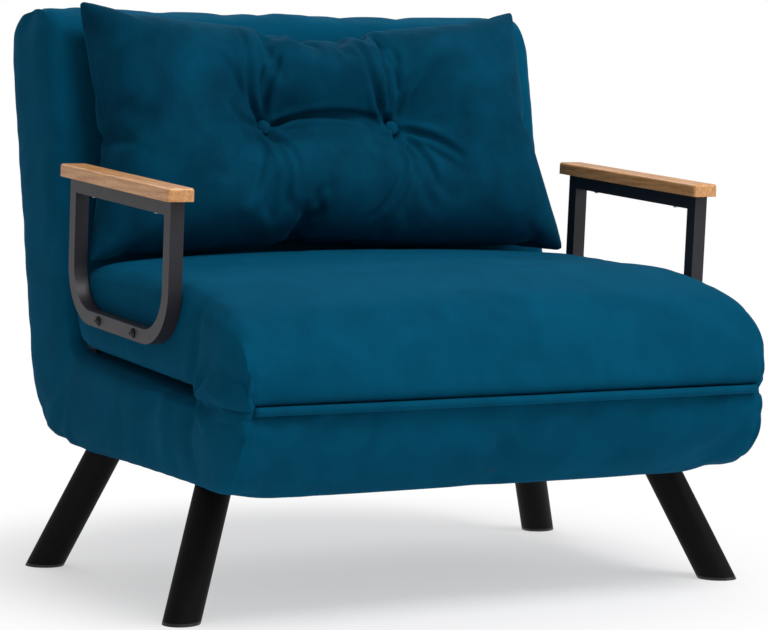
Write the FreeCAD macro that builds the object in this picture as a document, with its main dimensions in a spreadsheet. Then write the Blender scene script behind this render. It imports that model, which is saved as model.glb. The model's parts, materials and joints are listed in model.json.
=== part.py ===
import FreeCAD, Part
import Sketcher
import math
import os
import re

Vector = FreeCAD.Vector

# Driving dimensions, in millimetres and degrees.
# The frame: +X to the sitter's left, +Y to the rear, +Z up, floor at zero.
SIZES = {
    "half_width": (400, "half the width of the three mattress sections"),
    "front_axis_y": (-411.62, "front hinge axis, measured from the middle of the chair"),
    "front_axis_height": (291.5, "front hinge axis above the floor"),
    "section_length": (565, "from the front hinge axis to the recline axis"),
    "rear_axis_height": (320, "recline axis above the floor"),
    "seat_tilt": (3.04, "slope of the seat section, front lower"),
    "back_lean": (10.5, "lean of the backrest from upright"),
    "seat_clearance": (7, "hinge axis to the underside of the seat section"),
    "seat_thickness": (131, "hinge axis level to the top of the seat at its sides"),
    "seat_crown": (13, "rise of the seat from its sides to its middle"),
    "base_underside": (190, "underside of the base above the floor"),
    "base_top": (296, "top of the base at its sides"),
    "base_crown": (13.5, "rise of the base from its sides to its middle"),
    "back_length": (505, "recline axis to the top of the backrest"),
    "back_thickness": (162, "front face to rear face of the backrest"),
    "back_crown": (8, "rise of the backrest's front face"),
    "side_draw": (7, "how far the sides pull in between their seams"),
    "cover_thickness": (1.2, "quilted velvet cover"),
    "fit_gap": (0.3, "clearance of pieces that lie against each other"),
    "frame_tube": (25, "square tube of the three section frames"),
    "frame_wall": (1.5, "wall of the square tube"),
    "frame_inset": (25, "side of the mattress to the outside of its frame"),
    "base_rail_start": (48, "front hinge axis to the base frame's front rail"),
    "seat_rail_start": (30, "front hinge axis to the seat frame's front rail"),
    "seat_rail_level": (47.5, "hinge axis level to the underside of the seat frame"),
    "back_rail_start": (90, "recline axis to the back frame's lower rail"),
    "back_end_foam": (36, "foam above the back frame"),
    "frame_end_foam": (25, "foam behind the last rail of a frame"),
    "slat_width": (50, "width of a sprung slat"),
    "slat_thickness": (8, "thickness of a sprung slat"),
    "slat_bow": (5, "rise of a sprung slat at its middle"),
    "slat_inset": (12, "side rail to the end of a slat"),
    "plate": (4, "thickness of hinge plates and leg plates"),
    "recline_swing": (79.5, "how far the backrest reclines"),
    "recline_boss": (20, "radius of the recline hinge plates at the pin"),
    "recline_pin": (5, "radius of the recline hinge pin"),
    "hinge_knuckle": (5, "radius of the front hinge knuckles"),
    "hinge_pin": (2.5, "radius of the front hinge pins"),
    "hinge_leaf": (3, "thickness of the front hinge leaves"),
    "hinge_x": (270, "middle of the chair to the middle of each front hinge"),
    "hinge_half_length": (30, "half the length of a front hinge"),
    "pin_play": (0.05, "radial play of hinge pins"),
    "welt_radius": (6, "piped welt round the front hinge axis"),
    "arm_tube": (20, "square tube of the arm frames"),
    "arm_wall": (1.5, "wall of the arm tube"),
    "arm_standoff": (5, "side of the mattress to the arm frame"),
    "arm_start": (195.5, "front hinge axis to the front post"),
    "arm_span": (342.5, "outside length of an arm frame"),
    "arm_level": (50, "hinge axis level to the underside of the arm frame"),
    "arm_height": (200, "height of an arm frame"),
    "arm_bend": (70, "centreline radius of the lower bends"),
    "arm_bolt_spacing": (120, "spacing of the two bolts through the lower bar"),
    "board_width": (40, "width of an arm board"),
    "board_thickness": (18, "thickness of an arm board"),
    "board_overhang": (11, "arm board past the front post"),
    "board_length": (371.5, "length of an arm board"),
    "leg_radius": (25, "radius of a leg"),
    "leg_wall": (2, "wall of a leg"),
    "leg_inset": (52, "side of the mattress to the leg's axis at the leg plate"),
    "leg_front_y": (196.5, "front hinge axis to the front legs' axis at the plate"),
    "leg_rear_y": (559, "front hinge axis to the rear legs' axis at the plate"),
    "leg_lean": (28, "lean of a leg from upright"),
    "front_leg_heading": (38, "turn of the front legs' lean from straight sideways"),
    "rear_leg_heading": (42, "turn of the rear legs' lean from straight sideways"),
    "glide_height": (4, "height of a foot glide under its leg"),
    "head_leg_axis": (440, "recline axis to the head leg's pivot, up the back"),
    "head_leg_standoff": (14.5, "rear face of the backrest to the head leg's pivot"),
    "head_leg_tube": (10, "radius of the head leg's tube"),
    "head_leg_half": (300, "half the width of the head leg"),
    "head_leg_bend": (40, "centreline radius of the head leg's bends"),
    "sleeve_wall": (2, "wall of the head leg's foot sleeves"),
    "pillow_half": (378, "half the width of the pillow"),
    "pillow_x": (-15, "middle of the chair to the middle of the pillow"),
    "pillow_cloth": (1.0, "pillow cover"),
    "button_spacing": (215, "between the pillow's two buttons"),
    "button_radius": (11, "radius of a covered button"),
}

doc = FreeCAD.newDocument("chair_bed")
sheet = doc.addObject("Spreadsheet::Sheet", "Sizes")
for row, (alias, (value, note)) in enumerate(SIZES.items(), start=1):
    sheet.set(f"A{row}", str(value))
    sheet.setAlias(f"A{row}", alias)
    sheet.set(f"B{row}", note)
doc.recompute()

nodes = []


def size(alias):
    """A driving dimension, read back from the sheet."""
    return float(sheet.get(alias))


def cells(words):
    """Turns plain words such as half_width - frame_inset into sheet references."""
    return re.sub(r"[a-z_]{3,}", lambda found: "Sizes." + found.group(0), words)


def bind(item, **properties):
    """Binds properties of an object to the sheet."""
    for name, words in properties.items():
        item.setExpression(name, cells(words))
    return item


def place(item, x="0", y="0", z="0"):
    """Binds the position of an object to the sheet."""
    for axis, words in zip("xyz", (x, y, z)):
        item.setExpression("Placement.Base." + axis, cells(words))
    return item


def block(name, length, width, height, x, y, z):
    """A box with its lowest corner at x, y, z."""
    item = doc.addObject("Part::Box", name)
    bind(item, Length=length, Width=width, Height=height)
    return place(item, x, y, z)


TURN = {
    "X": FreeCAD.Rotation(Vector(0, 1, 0), 90),
    "Y": FreeCAD.Rotation(Vector(1, 0, 0), -90),
    "Z": FreeCAD.Rotation(),
}


def rod(name, axis, radius, length, x, y, z):
    """A cylinder that runs from x, y, z in the direction of an axis."""
    item = doc.addObject("Part::Cylinder", name)
    bind(item, Radius=radius, Height=length)
    item.Placement = FreeCAD.Placement(Vector(), TURN[axis])
    return place(item, x, y, z)


def cut(name, base, tool):
    item = doc.addObject("Part::Cut", name)
    item.Base = base
    item.Tool = tool
    return item


def fuse(name, parts):
    item = doc.addObject("Part::MultiFuse", name)
    item.Shapes = parts
    return item


def group(name, parts):
    """Separate solids that share one node."""
    item = doc.addObject("Part::Compound", name)
    item.Links = parts
    return item


def form(name, shape):
    """A piece whose shape is worked out from the sheet by the functions below."""
    item = doc.addObject("Part::Feature", name)
    item.Shape = shape
    return item


SECTIONS = {
    "base": ("0", "0"),
    "seat": ("front_axis_height", "seat_tilt"),
    "back": ("rear_axis_height", "0 - back_lean"),
}


def node(name, item, section):
    """Names a finished piece and puts it in the frame of its section."""
    height, angle = SECTIONS[section]
    start = "front_axis_y"
    if section == "back":
        start += " + section_length"
    item.Placement = FreeCAD.Placement(Vector(), FreeCAD.Rotation(Vector(1, 0, 0), 1))
    item.setExpression("Placement.Rotation.Angle", cells(angle))
    place(item, "0", start, height)
    item.Label = name
    nodes.append(item)
    return item


def chain(points, kinds):
    """A closed wire. A line takes the next point, an arc the next two."""
    edges = []
    here = 0
    for kind in kinds:
        if kind == "line":
            edges.append(Part.LineSegment(points[here], points[here + 1]).toShape())
            here += 1
        else:
            edges.append(Part.Arc(*points[here:here + 3]).toShape())
            here += 2
    return Part.Wire(edges)


def loft(stations, outline):
    """A closed ruled loft through the outlines at the given stations along X."""
    return Part.makeLoft([outline(*station) for station in stations], True, True)


def hull_plate(circles, x, thickness, grow=0.0):
    """A plate in the YZ plane round circles (y, z, radius), listed anticlockwise."""
    edges = []
    count = len(circles)
    tangents = []
    for here in range(count):
        y0, z0, r0 = circles[here]
        y1, z1, r1 = circles[(here + 1) % count]
        run = math.atan2(z1 - z0, y1 - y0)
        span = math.hypot(z1 - z0, y1 - y0)
        normal = run - math.pi / 2 + math.asin((r0 - r1) / span)
        tangents.append(normal)
    for here in range(count):
        y, z, radius = circles[here]
        radius += grow
        before = tangents[here - 1]
        after = tangents[here]
        while after < before:
            after += 2 * math.pi
        spots = [
            Vector(x, y + radius * math.cos(a), z + radius * math.sin(a))
            for a in (before, (before + after) / 2, after)
        ]
        edges.append((spots, Part.Arc(*spots).toShape()))
    ring = []
    for here in range(count):
        ring.append(edges[here][1])
        start = edges[here][0][2]
        end = edges[(here + 1) % count][0][0]
        ring.append(Part.LineSegment(start, end).toShape())
    face = Part.Face(Part.Wire(ring))
    return face.extrude(Vector(thickness, 0, 0))


def across(y, z, radius, x, length):
    """A cylinder along X."""
    return Part.makeCylinder(radius, length, Vector(x, y, z), Vector(1, 0, 0))


half_width = size("half_width")
section_length = size("section_length")
cover_skin = size("cover_thickness")
fit_gap = size("fit_gap")
foam_inset = cover_skin + fit_gap
plate = size("plate")
frame_tube = size("frame_tube")


def stations(crown):
    """Stations of a cushion along X: crowned in the middle, eased at the sides."""
    ease = ((1.0, 9.0), (0.965, 1.5), (0.55, 0.0))
    left = [(-part * half_width, inset, crown * (1 - part ** 2)) for part, inset in ease]
    right = [(-x, inset, rise) for x, inset, rise in reversed(left)]
    return left + [(0.0, 0.0, crown)] + right


def drawn_in(shape, middle, along, height, inset):
    """Pulls the sides of a cushion in between two seams that run along a direction."""
    draw = size("side_draw")
    radius = (height ** 2 / 4 + draw ** 2) / (2 * draw)
    reach = 3 * section_length
    for side in (-1, 1):
        x = side * (half_width - inset - draw + radius)
        start = Vector(x, *middle) - along * section_length
        shape = shape.cut(Part.makeCylinder(radius, reach, start, along))
    return shape


# Outlines of the three cushions, in the frames of their sections.
def seat_outline(x, ease, crown, inset):
    """Rounded nose, gently crowned top, round rear end, flat underside."""
    low = size("seat_clearance") + inset
    top = size("seat_thickness") - ease - inset
    end = section_length - ease - inset
    nose = 0.5 + ease + inset
    spots = [
        (nose, low),
        (nose, 28),
        (nose + 13, 72 - ease / 2),
        (nose + 60, top - 23),
        (nose + 140, top - 5 + crown * 0.6),
        (section_length * 0.55, top - 2 + crown),
        (section_length * 0.75, top - 5 + crown * 0.8),
        (end - 58, top - 8),
        (end - 17, top - 27),
        (end, 64),
        (end - 9, 30 + inset),
        (end - 32, low),
    ]
    points = [Vector(x, y, z) for y, z in spots]
    return chain(
        points + points[:1], ("line", "arc", "arc", "arc", "arc", "arc", "line")
    )


def base_outline(x, ease, crown, inset):
    """Rolled front edge, flat underside and upright rear end."""
    low = size("base_underside") + inset
    top = size("base_top") - ease - inset
    front = 4.8 + ease + inset
    welt = size("front_axis_height") - 4 - inset
    end = section_length - 2 - ease / 2 - inset
    rear_top = top + 2 + crown * 2
    spots = [
        (front, welt),
        (front + 6, 250),
        (front + 22, low + 20),
        (front + 35, low + 3),
        (front + 58, low - 5 + ease / 2),
        (front + 110, low),
        (end - 3, low),
        (end - 0.9, low + 0.9),
        (end, low + 3),
        (end, rear_top - 10),
        (end - 3, rear_top - 3),
        (end - 10, rear_top),
        (section_length * 0.5, top + crown),
        (front + 34, welt + 2.5 - ease / 3),
        (front + 10, welt + 2.5 - ease / 3),
    ]
    points = [Vector(x, y, z) for y, z in spots]
    kinds = ("arc", "arc", "line", "line", "arc", "line", "arc", "arc", "line", "line")
    return chain(points + points[:1], kinds)


def back_outline(x, ease, crown, inset):
    """Crowned front, rounded top and a lower rear corner that clears the legs."""
    front = ease + inset
    rear = size("back_thickness") - inset - ease / 2
    top = size("back_length") - ease - inset
    foot = 3 + inset
    bend = 52
    near = bend * (1 - math.sqrt(0.5))
    spots = [
        (front + 15, foot),
        (front + 4.4, foot + 4.4),
        (front, foot + 15),
        (front - 1 - crown, top / 2),
        (front, top - bend),
        (front + near, top - near),
        (front + bend, top),
        (rear - bend, top),
        (rear - near, top - near),
        (rear, top - bend),
        (rear, 100),
        (rear - 27, foot + 32),
        (rear - 77, foot),
    ]
    points = [Vector(x, y, z) for y, z in spots]
    kinds = ("arc", "arc", "arc", "line", "arc", "line", "arc", "line")
    return chain(points + points[:1], kinds)


def cushion(outline, crown, middle, along, height, inset):
    """A cushion of one section. The inset is taken off all round."""
    spots = [
        (x * (half_width - inset) / half_width, ease, rise, inset)
        for x, ease, rise in stations(crown)
    ]
    return drawn_in(loft(spots, outline), middle, along, height, inset)


def seat_cushion(inset):
    return cushion(seat_outline, size("seat_crown"), (0, 68), Vector(0, 1, 0), 124, inset)


def base_cushion(inset):
    return cushion(base_outline, size("base_crown"), (0, 243), Vector(0, 1, 0), 106, inset)


def back_cushion(inset):
    thickness = size("back_thickness")
    middle = (thickness / 2, 0)
    return cushion(back_outline, size("back_crown"), middle, Vector(0, 0, 1), thickness,
                   inset)


def box(x0, x1, y0, y1, z0, z1):
    return Part.makeBox(x1 - x0, y1 - y0, z1 - z0, Vector(x0, y0, z0))


# Front hinges: two strap hinges whose knuckles lie in the piped welt.
knuckle = size("hinge_knuckle")
hinge_pin = size("hinge_pin")
leaf = size("hinge_leaf")
pin_play = size("pin_play")
hinge_half = size("hinge_half_length")
axis_height = size("front_axis_height")
base_rail_start = size("base_rail_start")
base_rail_top = size("base_underside") + 2 + frame_tube
seat_rail_level = size("seat_rail_level")
seat_rail_start = size("seat_rail_start")


def hinge_spots():
    return [side * size("hinge_x") for side in (-1, 1)]


def fixed_leaf(x):
    """Two outer knuckles on a strap that turns down to the base frame."""
    bore = across(0, axis_height, hinge_pin + pin_play, x - 40, 80)
    side = hinge_half / 2 - fit_gap
    back = base_rail_start + 8
    strap = box(x - hinge_half, x + hinge_half, 0, back, axis_height - knuckle,
                axis_height - knuckle + leaf)
    strap = strap.cut(box(x - side - 0.6, x + side + 0.6, -6, knuckle + 2,
                          axis_height - 9, axis_height))
    drop = box(x - hinge_half, x + hinge_half, back - leaf, back, base_rail_top,
               axis_height - knuckle + leaf)
    shape = strap.fuse(drop)
    for start in (x - hinge_half, x + side + 0.6):
        shape = shape.fuse(across(0, axis_height, knuckle, start, hinge_half - side - 0.6))
    return shape.cut(bore).removeSplitter()


def moving_leaf(x):
    """The middle knuckle on a strap that turns up to the seat frame."""
    side = hinge_half / 2 - fit_gap
    back = seat_rail_start + 15
    bore = across(0, 0, hinge_pin + pin_play, x - 40, 80)
    strap = box(x - side, x + side, 0, back, knuckle - leaf, knuckle)
    rise = box(x - side, x + side, back - leaf, back, knuckle - leaf, seat_rail_level)
    shape = strap.fuse(rise).fuse(across(0, 0, knuckle, x - side, 2 * side))
    return shape.cut(bore).removeSplitter()


# Recline hinges: plates on the outside of the base frame and of the back frame.
rear_axis_height = size("rear_axis_height")
boss = size("recline_boss")
fixed_x = half_width - size("frame_inset")
moving_x = fixed_x - fit_gap - plate
rail_middle = size("base_underside") + 2 + frame_tube / 2
back_rail_middle = size("back_thickness") - 9 - frame_tube / 2
back_rail_start = size("back_rail_start")
base_frame_end = section_length - 10
FIXED_BOLTS = ((section_length - 26, rail_middle), (section_length - 105, rail_middle))
MOVING_BOLTS = (
    (back_rail_middle, back_rail_start + 22),
    (back_rail_middle, back_rail_start + 90),
)


def fixed_circles():
    return [
        (section_length, rear_axis_height, boss),
        (*FIXED_BOLTS[1], 12),
        (*FIXED_BOLTS[0], 12),
    ]


def moving_circles():
    return [(0, 0, boss), (*MOVING_BOLTS[0], 12), (*MOVING_BOLTS[1], 12)]


def mirrored(shape):
    return [shape, shape.mirror(Vector(), Vector(1, 0, 0))]


def compound(shapes):
    return Part.makeCompound(shapes)


def recline_plate(circles, x, pin_spot, bolts):
    shape = hull_plate(circles, x, plate)
    pin_hole = size("recline_pin") + pin_play
    shape = shape.cut(across(*pin_spot, pin_hole, x - 5, plate + 10))
    for y, z in bolts:
        shape = shape.cut(across(y, z, 4.2, x - 5, plate + 10))
    return compound(mirrored(shape))


# The four legs lean outwards: each has its axis point at the leg plate.
LEG_TOP = size("base_underside") - fit_gap - plate


def leg_spots():
    """Name, axis point at the plate and direction down each leg."""
    lean = math.radians(size("leg_lean"))
    found = []
    for end, place_y, heading in (
        ("front", size("leg_front_y"), -size("front_leg_heading")),
        ("rear", size("leg_rear_y"), size("rear_leg_heading")),
    ):
        turn = math.radians(heading)
        for name, side in (("left", 1), ("right", -1)):
            down = Vector(
                side * math.sin(lean) * math.cos(turn),
                math.sin(lean) * math.sin(turn),
                -math.cos(lean),
            )
            top = Vector(side * (half_width - size("leg_inset")), place_y, LEG_TOP)
            found.append((f"leg_{end}_{name}", top, down))
    return found


def leaning(top, down, radius, low, high):
    """A leaning cylinder cut level at two heights."""
    start = top - down * 60
    shape = Part.makeCylinder(radius, 400, start, down)
    slab = Part.makeBox(400, 400, high - low, Vector(top.x - 200, top.y - 200, low))
    return shape.common(slab)


def leg_bolt_spots(top):
    """Two bolts in the side rail and one in the cross rail."""
    side = 1 if top.x > 0 else -1
    rail_x = side * (fixed_x - frame_tube / 2)
    if top.y > section_length / 2:
        rear = base_frame_end - frame_tube / 2
        return [(rail_x, top.y - 39), (rail_x, top.y - 79), (rail_x - side * 60, rear)]
    return [(rail_x, top.y - 36), (rail_x, top.y + 36), (rail_x - side * 54, top.y)]


def flat_hull(circles, height, thickness):
    """A level plate round circles (x, y, radius), listed anticlockwise from above."""
    shape = hull_plate(circles, 0, thickness)
    turn = FreeCAD.Rotation(Vector(0, 0, 1), Vector(1, 0, 0), Vector(0, 1, 0), "XYZ")
    shape.Placement = FreeCAD.Placement(Vector(0, 0, height), turn)
    return shape


def leg_plate(top):
    """A pressed plate round the bolts and the top of the leg."""
    near = Vector(abs(top.x), top.y, 0)
    spots = leg_bolt_spots(near)
    ring = [(x, y, 11) for x, y in spots]
    disc = Part.makeCylinder(29, plate, Vector(near.x, near.y, LEG_TOP))
    if top.y > section_length / 2:
        ring = [(near.x, near.y, 29), ring[2], ring[1]]
    shape = flat_hull(ring, LEG_TOP, plate).fuse(disc)
    for x, y in spots:
        shape = shape.cut(Part.makeCylinder(3.2, 20, Vector(x, y, LEG_TOP - 5)))
    shape = shape.removeSplitter()
    return shape if top.x > 0 else mirrored(shape)[1]


def hexagon(radius, height):
    """A hexagonal prism standing on the origin."""
    corners = [
        Vector(radius * math.cos(math.radians(60 * n)), radius * math.sin(math.radians(60 * n)), 0)
        for n in range(7)
    ]
    return Part.Face(Part.makePolygon(corners)).extrude(Vector(0, 0, height))


def hex_bolt(head_radius, head_height, radius, length, spot, direction):
    """A hexagon head with its shank. The head stands against the direction."""
    bolt = hexagon(head_radius, -head_height).fuse(Part.makeCylinder(radius, length))
    turn = FreeCAD.Rotation(Vector(0, 0, 1), direction)
    bolt.Placement = FreeCAD.Placement(spot, turn)
    return bolt


def socket_bolt(head_radius, head_height, radius, length, spot, direction):
    """A low cone head with a hexagon socket, and its shank."""
    rim = head_height * 0.3
    head = Part.makeCylinder(head_radius, rim, Vector(0, 0, -rim))
    crown = Part.makeCone(head_radius * 0.55, head_radius, head_height - rim,
                          Vector(0, 0, -head_height))
    socket = hexagon(radius * 0.6, head_height * 0.6)
    socket.translate(Vector(0, 0, -head_height))
    bolt = head.fuse(crown).fuse(Part.makeCylinder(radius, length)).cut(socket)
    turn = FreeCAD.Rotation(Vector(0, 0, 1), direction)
    bolt.Placement = FreeCAD.Placement(spot, turn)
    return bolt


# Frames: side rails with cross rails between them, all open square tube.
def rail(name, axis, span, x, y, z):
    """A square tube along X or Y, open at both ends."""
    inner = "frame_tube - 2 * frame_wall"
    if axis == "X":
        outside = block(name + "_outside", span, "frame_tube", "frame_tube", x, y, z)
        inside = block(name + "_inside", span + " + 2", inner, inner, x + " - 1",
                       y + " + frame_wall", z + " + frame_wall")
    else:
        outside = block(name + "_outside", "frame_tube", span, "frame_tube", x, y, z)
        inside = block(name + "_inside", inner, span + " + 2", inner,
                       x + " + frame_wall", y + " - 1", z + " + frame_wall")
    return cut(name, outside, inside)


def ladder(name, half, start, length, level, crossings):
    """A welded frame lying in the XY plane, with cross rails at the given places."""
    rails = [
        rail(name + "_left", "Y", length, half + " - frame_tube", start, level),
        rail(name + "_right", "Y", length, f"0 - ({half})", start, level),
    ]
    for number, y in enumerate(crossings, start=1):
        rails.append(
            rail(f"{name}_cross{number}", "X", f"2 * ({half} - frame_tube)",
                 f"frame_tube - ({half})", y, level)
        )
    return group(name, rails)


def slat(half, middle, level):
    """A bent plywood slat. Its ends stop short of the side rails."""
    reach = half - frame_tube - size("slat_inset")
    bow = size("slat_bow")
    thick = size("slat_thickness")
    width = size("slat_width")
    y = middle - width / 2
    spots = [
        (-reach, level), (0, level + bow), (reach, level),
        (reach, level + thick), (0, level + bow + thick), (-reach, level + thick),
    ]
    points = [Vector(x, y, z) for x, z in spots]
    wire = chain(points + points[:1], ("arc", "line", "arc", "line"))
    return Part.Face(wire).extrude(Vector(0, width, 0))


def slat_holder(half, middle, level, side):
    """A plastic cap between the side rail and the end of a slat."""
    reach = half - frame_tube
    thick = size("slat_thickness")
    width = size("slat_width") + 8
    deep = size("slat_inset") + 22
    body = box(reach - deep, reach, middle - width / 2, middle + width / 2,
               level - 4, level + thick + 5)
    mouth = box(reach - deep - 1, reach - size("slat_inset"),
                middle - width / 2 + 3.7, middle + width / 2 - 3.7,
                level - 0.3, level + thick + 1.6)
    shape = body.cut(mouth)
    return shape if side > 0 else shape.mirror(Vector(), Vector(1, 0, 0))


# Base section.
base_level = "base_underside + 2"
leg_cross = "leg_front_y - frame_tube / 2"
middle_cross = "(leg_front_y + section_length) / 2 - 15"
base_length = "section_length - 10 - base_rail_start"
base_end = "section_length - 10 - frame_tube"
base_tubes = ladder("base_frame_tubes", "half_width - frame_inset", "base_rail_start",
                    base_length, base_level,
                    ["base_rail_start", leg_cross, middle_cross, base_end])


def base_drills():
    """Holes for the leg bolts and the bolts of the recline plates."""
    holes = []
    for name, top, down in leg_spots():
        for x, y in leg_bolt_spots(top):
            holes.append(Part.makeCylinder(3.05, 16, Vector(x, y, LEG_TOP)))
    for y, z in FIXED_BOLTS:
        holes += mirrored(across(y, z, 4.05, fixed_x - 14, 20))
    return compound(holes)


node("base_frame", cut("base_frame_drilled", base_tubes,
                       form("base_frame_drills", base_drills())), "base")


def base_slats():
    """Slats in the three bays between the cross rails."""
    level = size("base_underside") + 2 + 8
    front = size("base_rail_start") + frame_tube
    leg_y = size("leg_front_y")
    centre = (leg_y + section_length) / 2 - 15 + frame_tube / 2
    rear = base_frame_end - frame_tube
    middles = [(front + leg_y - frame_tube / 2) / 2]
    for low, high, count in (
        (leg_y + frame_tube / 2, centre - frame_tube / 2, 2),
        (centre + frame_tube / 2, rear, 2),
    ):
        middles += [low + (high - low) * (n + 0.5) / count for n in range(count)]
    slats = compound([slat(fixed_x, y, level) for y in middles])
    holders = compound([slat_holder(fixed_x, y, level, s) for y in middles for s in (-1, 1)])
    return slats, holders


made_slats, made_holders = base_slats()
node("base_slats", form("base_slats_form", made_slats), "base")
node("base_slat_holders", form("base_slat_holders_form", made_holders), "base")


def hinge_room(y, z):
    """A round pocket in a cushion for the bosses of the recline plates."""
    low = moving_x - 6
    wide = fixed_x + plate + 7 - low
    return compound(mirrored(across(y, z, boss + 3, low, wide)))


def recline_slots(circles, x, grow, far=False):
    """Slots for a hinge plate, or for where it stands with the back reclined."""
    shape = hull_plate(circles, x - 1, plate + 6, grow)
    if not far:
        return mirrored(shape)
    swing = size("back_lean") + size("recline_swing")
    made = []
    for angle in (swing - 7, swing):
        turned = shape.copy()
        if circles == fixed_circles():
            turned.translate(Vector(0, -section_length, -rear_axis_height))
            turned.rotate(Vector(), Vector(1, 0, 0), angle)
        else:
            turned.rotate(Vector(), Vector(1, 0, 0), -angle)
            turned.translate(Vector(0, section_length, rear_axis_height))
        made += mirrored(turned)
    return made


def base_room():
    """Everything that the base cushion leaves free for metal."""
    low = size("base_underside")
    tool = box(-fixed_x - 1, fixed_x + 1, base_rail_start - 1, base_frame_end + 1,
               low - 20, base_rail_top + 1)
    for x in hinge_spots():
        tool = tool.fuse(box(x - hinge_half - 1, x + hinge_half + 1, -20,
                             base_rail_start + 9, axis_height - knuckle - 1,
                             axis_height + 10))
        tool = tool.fuse(box(x - hinge_half - 1, x + hinge_half + 1,
                             base_rail_start + 4, base_rail_start + 9,
                             base_rail_top - 5, axis_height + 10))
    for shape in recline_slots(fixed_circles(), fixed_x, 1.5):
        tool = tool.fuse(shape)
    for shape in recline_slots(moving_circles(), moving_x, 1.5, far=True):
        tool = tool.fuse(shape)
    return tool.fuse(hinge_room(section_length, rear_axis_height))


def base_cover_room():
    """Openings of the base cover: front hinges and recline hinges."""
    tool = hinge_room(section_length, rear_axis_height)
    for shape in recline_slots(fixed_circles(), fixed_x, 0.5):
        tool = tool.fuse(shape)
    for shape in recline_slots(moving_circles(), moving_x, 1.5, far=True):
        tool = tool.fuse(shape)
    for x in hinge_spots():
        tool = tool.fuse(box(x - hinge_half - 1, x + hinge_half + 1, -20,
                             base_rail_start + 9, axis_height - knuckle - 1,
                             axis_height + 10))
    return tool


def base_cover_holes():
    """Holes of the base cover for the leg bolts."""
    low = size("base_underside") - 10
    return [
        Part.makeCylinder(3.4, 20, Vector(x, y, low))
        for name, top, down in leg_spots()
        for x, y in leg_bolt_spots(top)
    ]


base_foam = base_cushion(foam_inset).cut(base_room())
node("base_foam", form("base_foam_form", base_foam), "base")
base_cover = base_cushion(0).cut(base_cushion(cover_skin)).cut(base_cover_room())
for hole in base_cover_holes():
    base_cover = base_cover.cut(hole)
node("base_cover", form("base_cover_form", base_cover), "base")

glides = []
plates = []
bolts = []
for leg_name, leg_top, leg_down in leg_spots():
    radius = size("leg_radius")
    inner = radius - size("leg_wall")
    glide = size("glide_height")
    tube = leaning(leg_top, leg_down, radius, glide, LEG_TOP)
    tube = tube.cut(leaning(leg_top, leg_down, inner, glide - 1, LEG_TOP + 1))
    node(leg_name, form(leg_name + "_form", tube), "base")
    foot = leaning(leg_top, leg_down, radius, 0, glide)
    plug = leaning(leg_top, leg_down, inner - 0.2, glide, glide + 14)
    glides.append(foot.fuse(plug).removeSplitter())
    plates.append(leg_plate(leg_top))
    for x, y in leg_bolt_spots(leg_top):
        bolts.append(hex_bolt(5.7, 3.6, 3, 12, Vector(x, y, LEG_TOP), Vector(0, 0, 1)))
node("foot_glides", form("foot_glides_form", compound(glides)), "base")
node("leg_plates", form("leg_plates_form", compound(plates)), "base")
node("leg_bolts", form("leg_bolts_form", compound(bolts)), "base")

node("front_hinge_fixed_leaves",
     form("fixed_leaves_form", compound([fixed_leaf(x) for x in hinge_spots()])), "base")
pins = [
    rod(f"hinge_pin_{number}", "X", "hinge_pin", "2 * hinge_half_length + 2",
        f"{side} * hinge_x - hinge_half_length - 1", "0", "front_axis_height")
    for number, side in ((1, -1), (2, 1))
]
node("front_hinge_pins", group("front_hinge_pin_pair", pins), "base")

node("recline_fixed_plates",
     form("recline_fixed_form",
          recline_plate(fixed_circles(), fixed_x, (section_length, rear_axis_height),
                        FIXED_BOLTS)), "base")


def recline_pin_form():
    """A headed pin through both plates, with a washer and a peened end."""
    y, z = section_length, rear_axis_height
    start = moving_x - 3
    reach = fixed_x + plate + 3 - start
    pin = across(y, z, size("recline_pin"), start, reach)
    inner = across(y, z, size("recline_pin") + 4, start - 1.2, 3)
    outer = across(y, z, size("recline_pin") + 4, fixed_x + plate + 0.2, 3)
    return compound(mirrored(pin.fuse(inner).fuse(outer).removeSplitter()))


node("recline_pins", form("recline_pins_form", recline_pin_form()), "base")


def side_bolts(spots, x, length):
    """Hexagon bolts through a plate into a side rail."""
    made = []
    for y, z in spots:
        made += mirrored(hex_bolt(7.5, 4, 4, length, Vector(x, y, z), Vector(-1, 0, 0)))
    return compound(made)


node("recline_base_bolts",
     form("recline_base_bolts_form", side_bolts(FIXED_BOLTS, fixed_x + plate, 12)), "base")


# Piped welt round the front hinge axis, broken where the hinges sit.
def welt_runs():
    outer = "hinge_x + hinge_half_length + 1.5"
    inner = "hinge_x - hinge_half_length - 1.5"
    return [
        ("welt_middle", f"2 * ({inner})", f"0 - ({inner})"),
        ("welt_left", f"half_width - 6 - ({outer})", outer),
        ("welt_right", f"half_width - 6 - ({outer})", "6 - half_width"),
    ]


node("front_welt",
     group("front_welt_runs",
           [rod(name, "X", "welt_radius", span, x, "0", "front_axis_height")
            for name, span, x in welt_runs()]), "base")


# Seat section.
seat_end = "section_length - frame_end_foam - frame_tube"
seat_tubes = ladder("seat_frame_tubes", "half_width - frame_inset", "seat_rail_start",
                    "section_length - frame_end_foam - seat_rail_start", "seat_rail_level",
                    ["seat_rail_start", "section_length / 2 - frame_tube / 2", seat_end])
arm_middle = size("arm_start") + size("arm_span") / 2
arm_bar_level = size("arm_level") + size("arm_tube") / 2
ARM_BOLTS = [
    (arm_middle + side * size("arm_bolt_spacing") / 2, arm_bar_level) for side in (-1, 1)
]
seat_drills = []
for drill_y, drill_z in ARM_BOLTS:
    seat_drills += mirrored(across(drill_y, drill_z, 4.05, fixed_x - 20, 30))
node("seat_frame", cut("seat_frame_drilled", seat_tubes,
                       form("seat_frame_drills", compound(seat_drills))), "seat")


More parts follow.
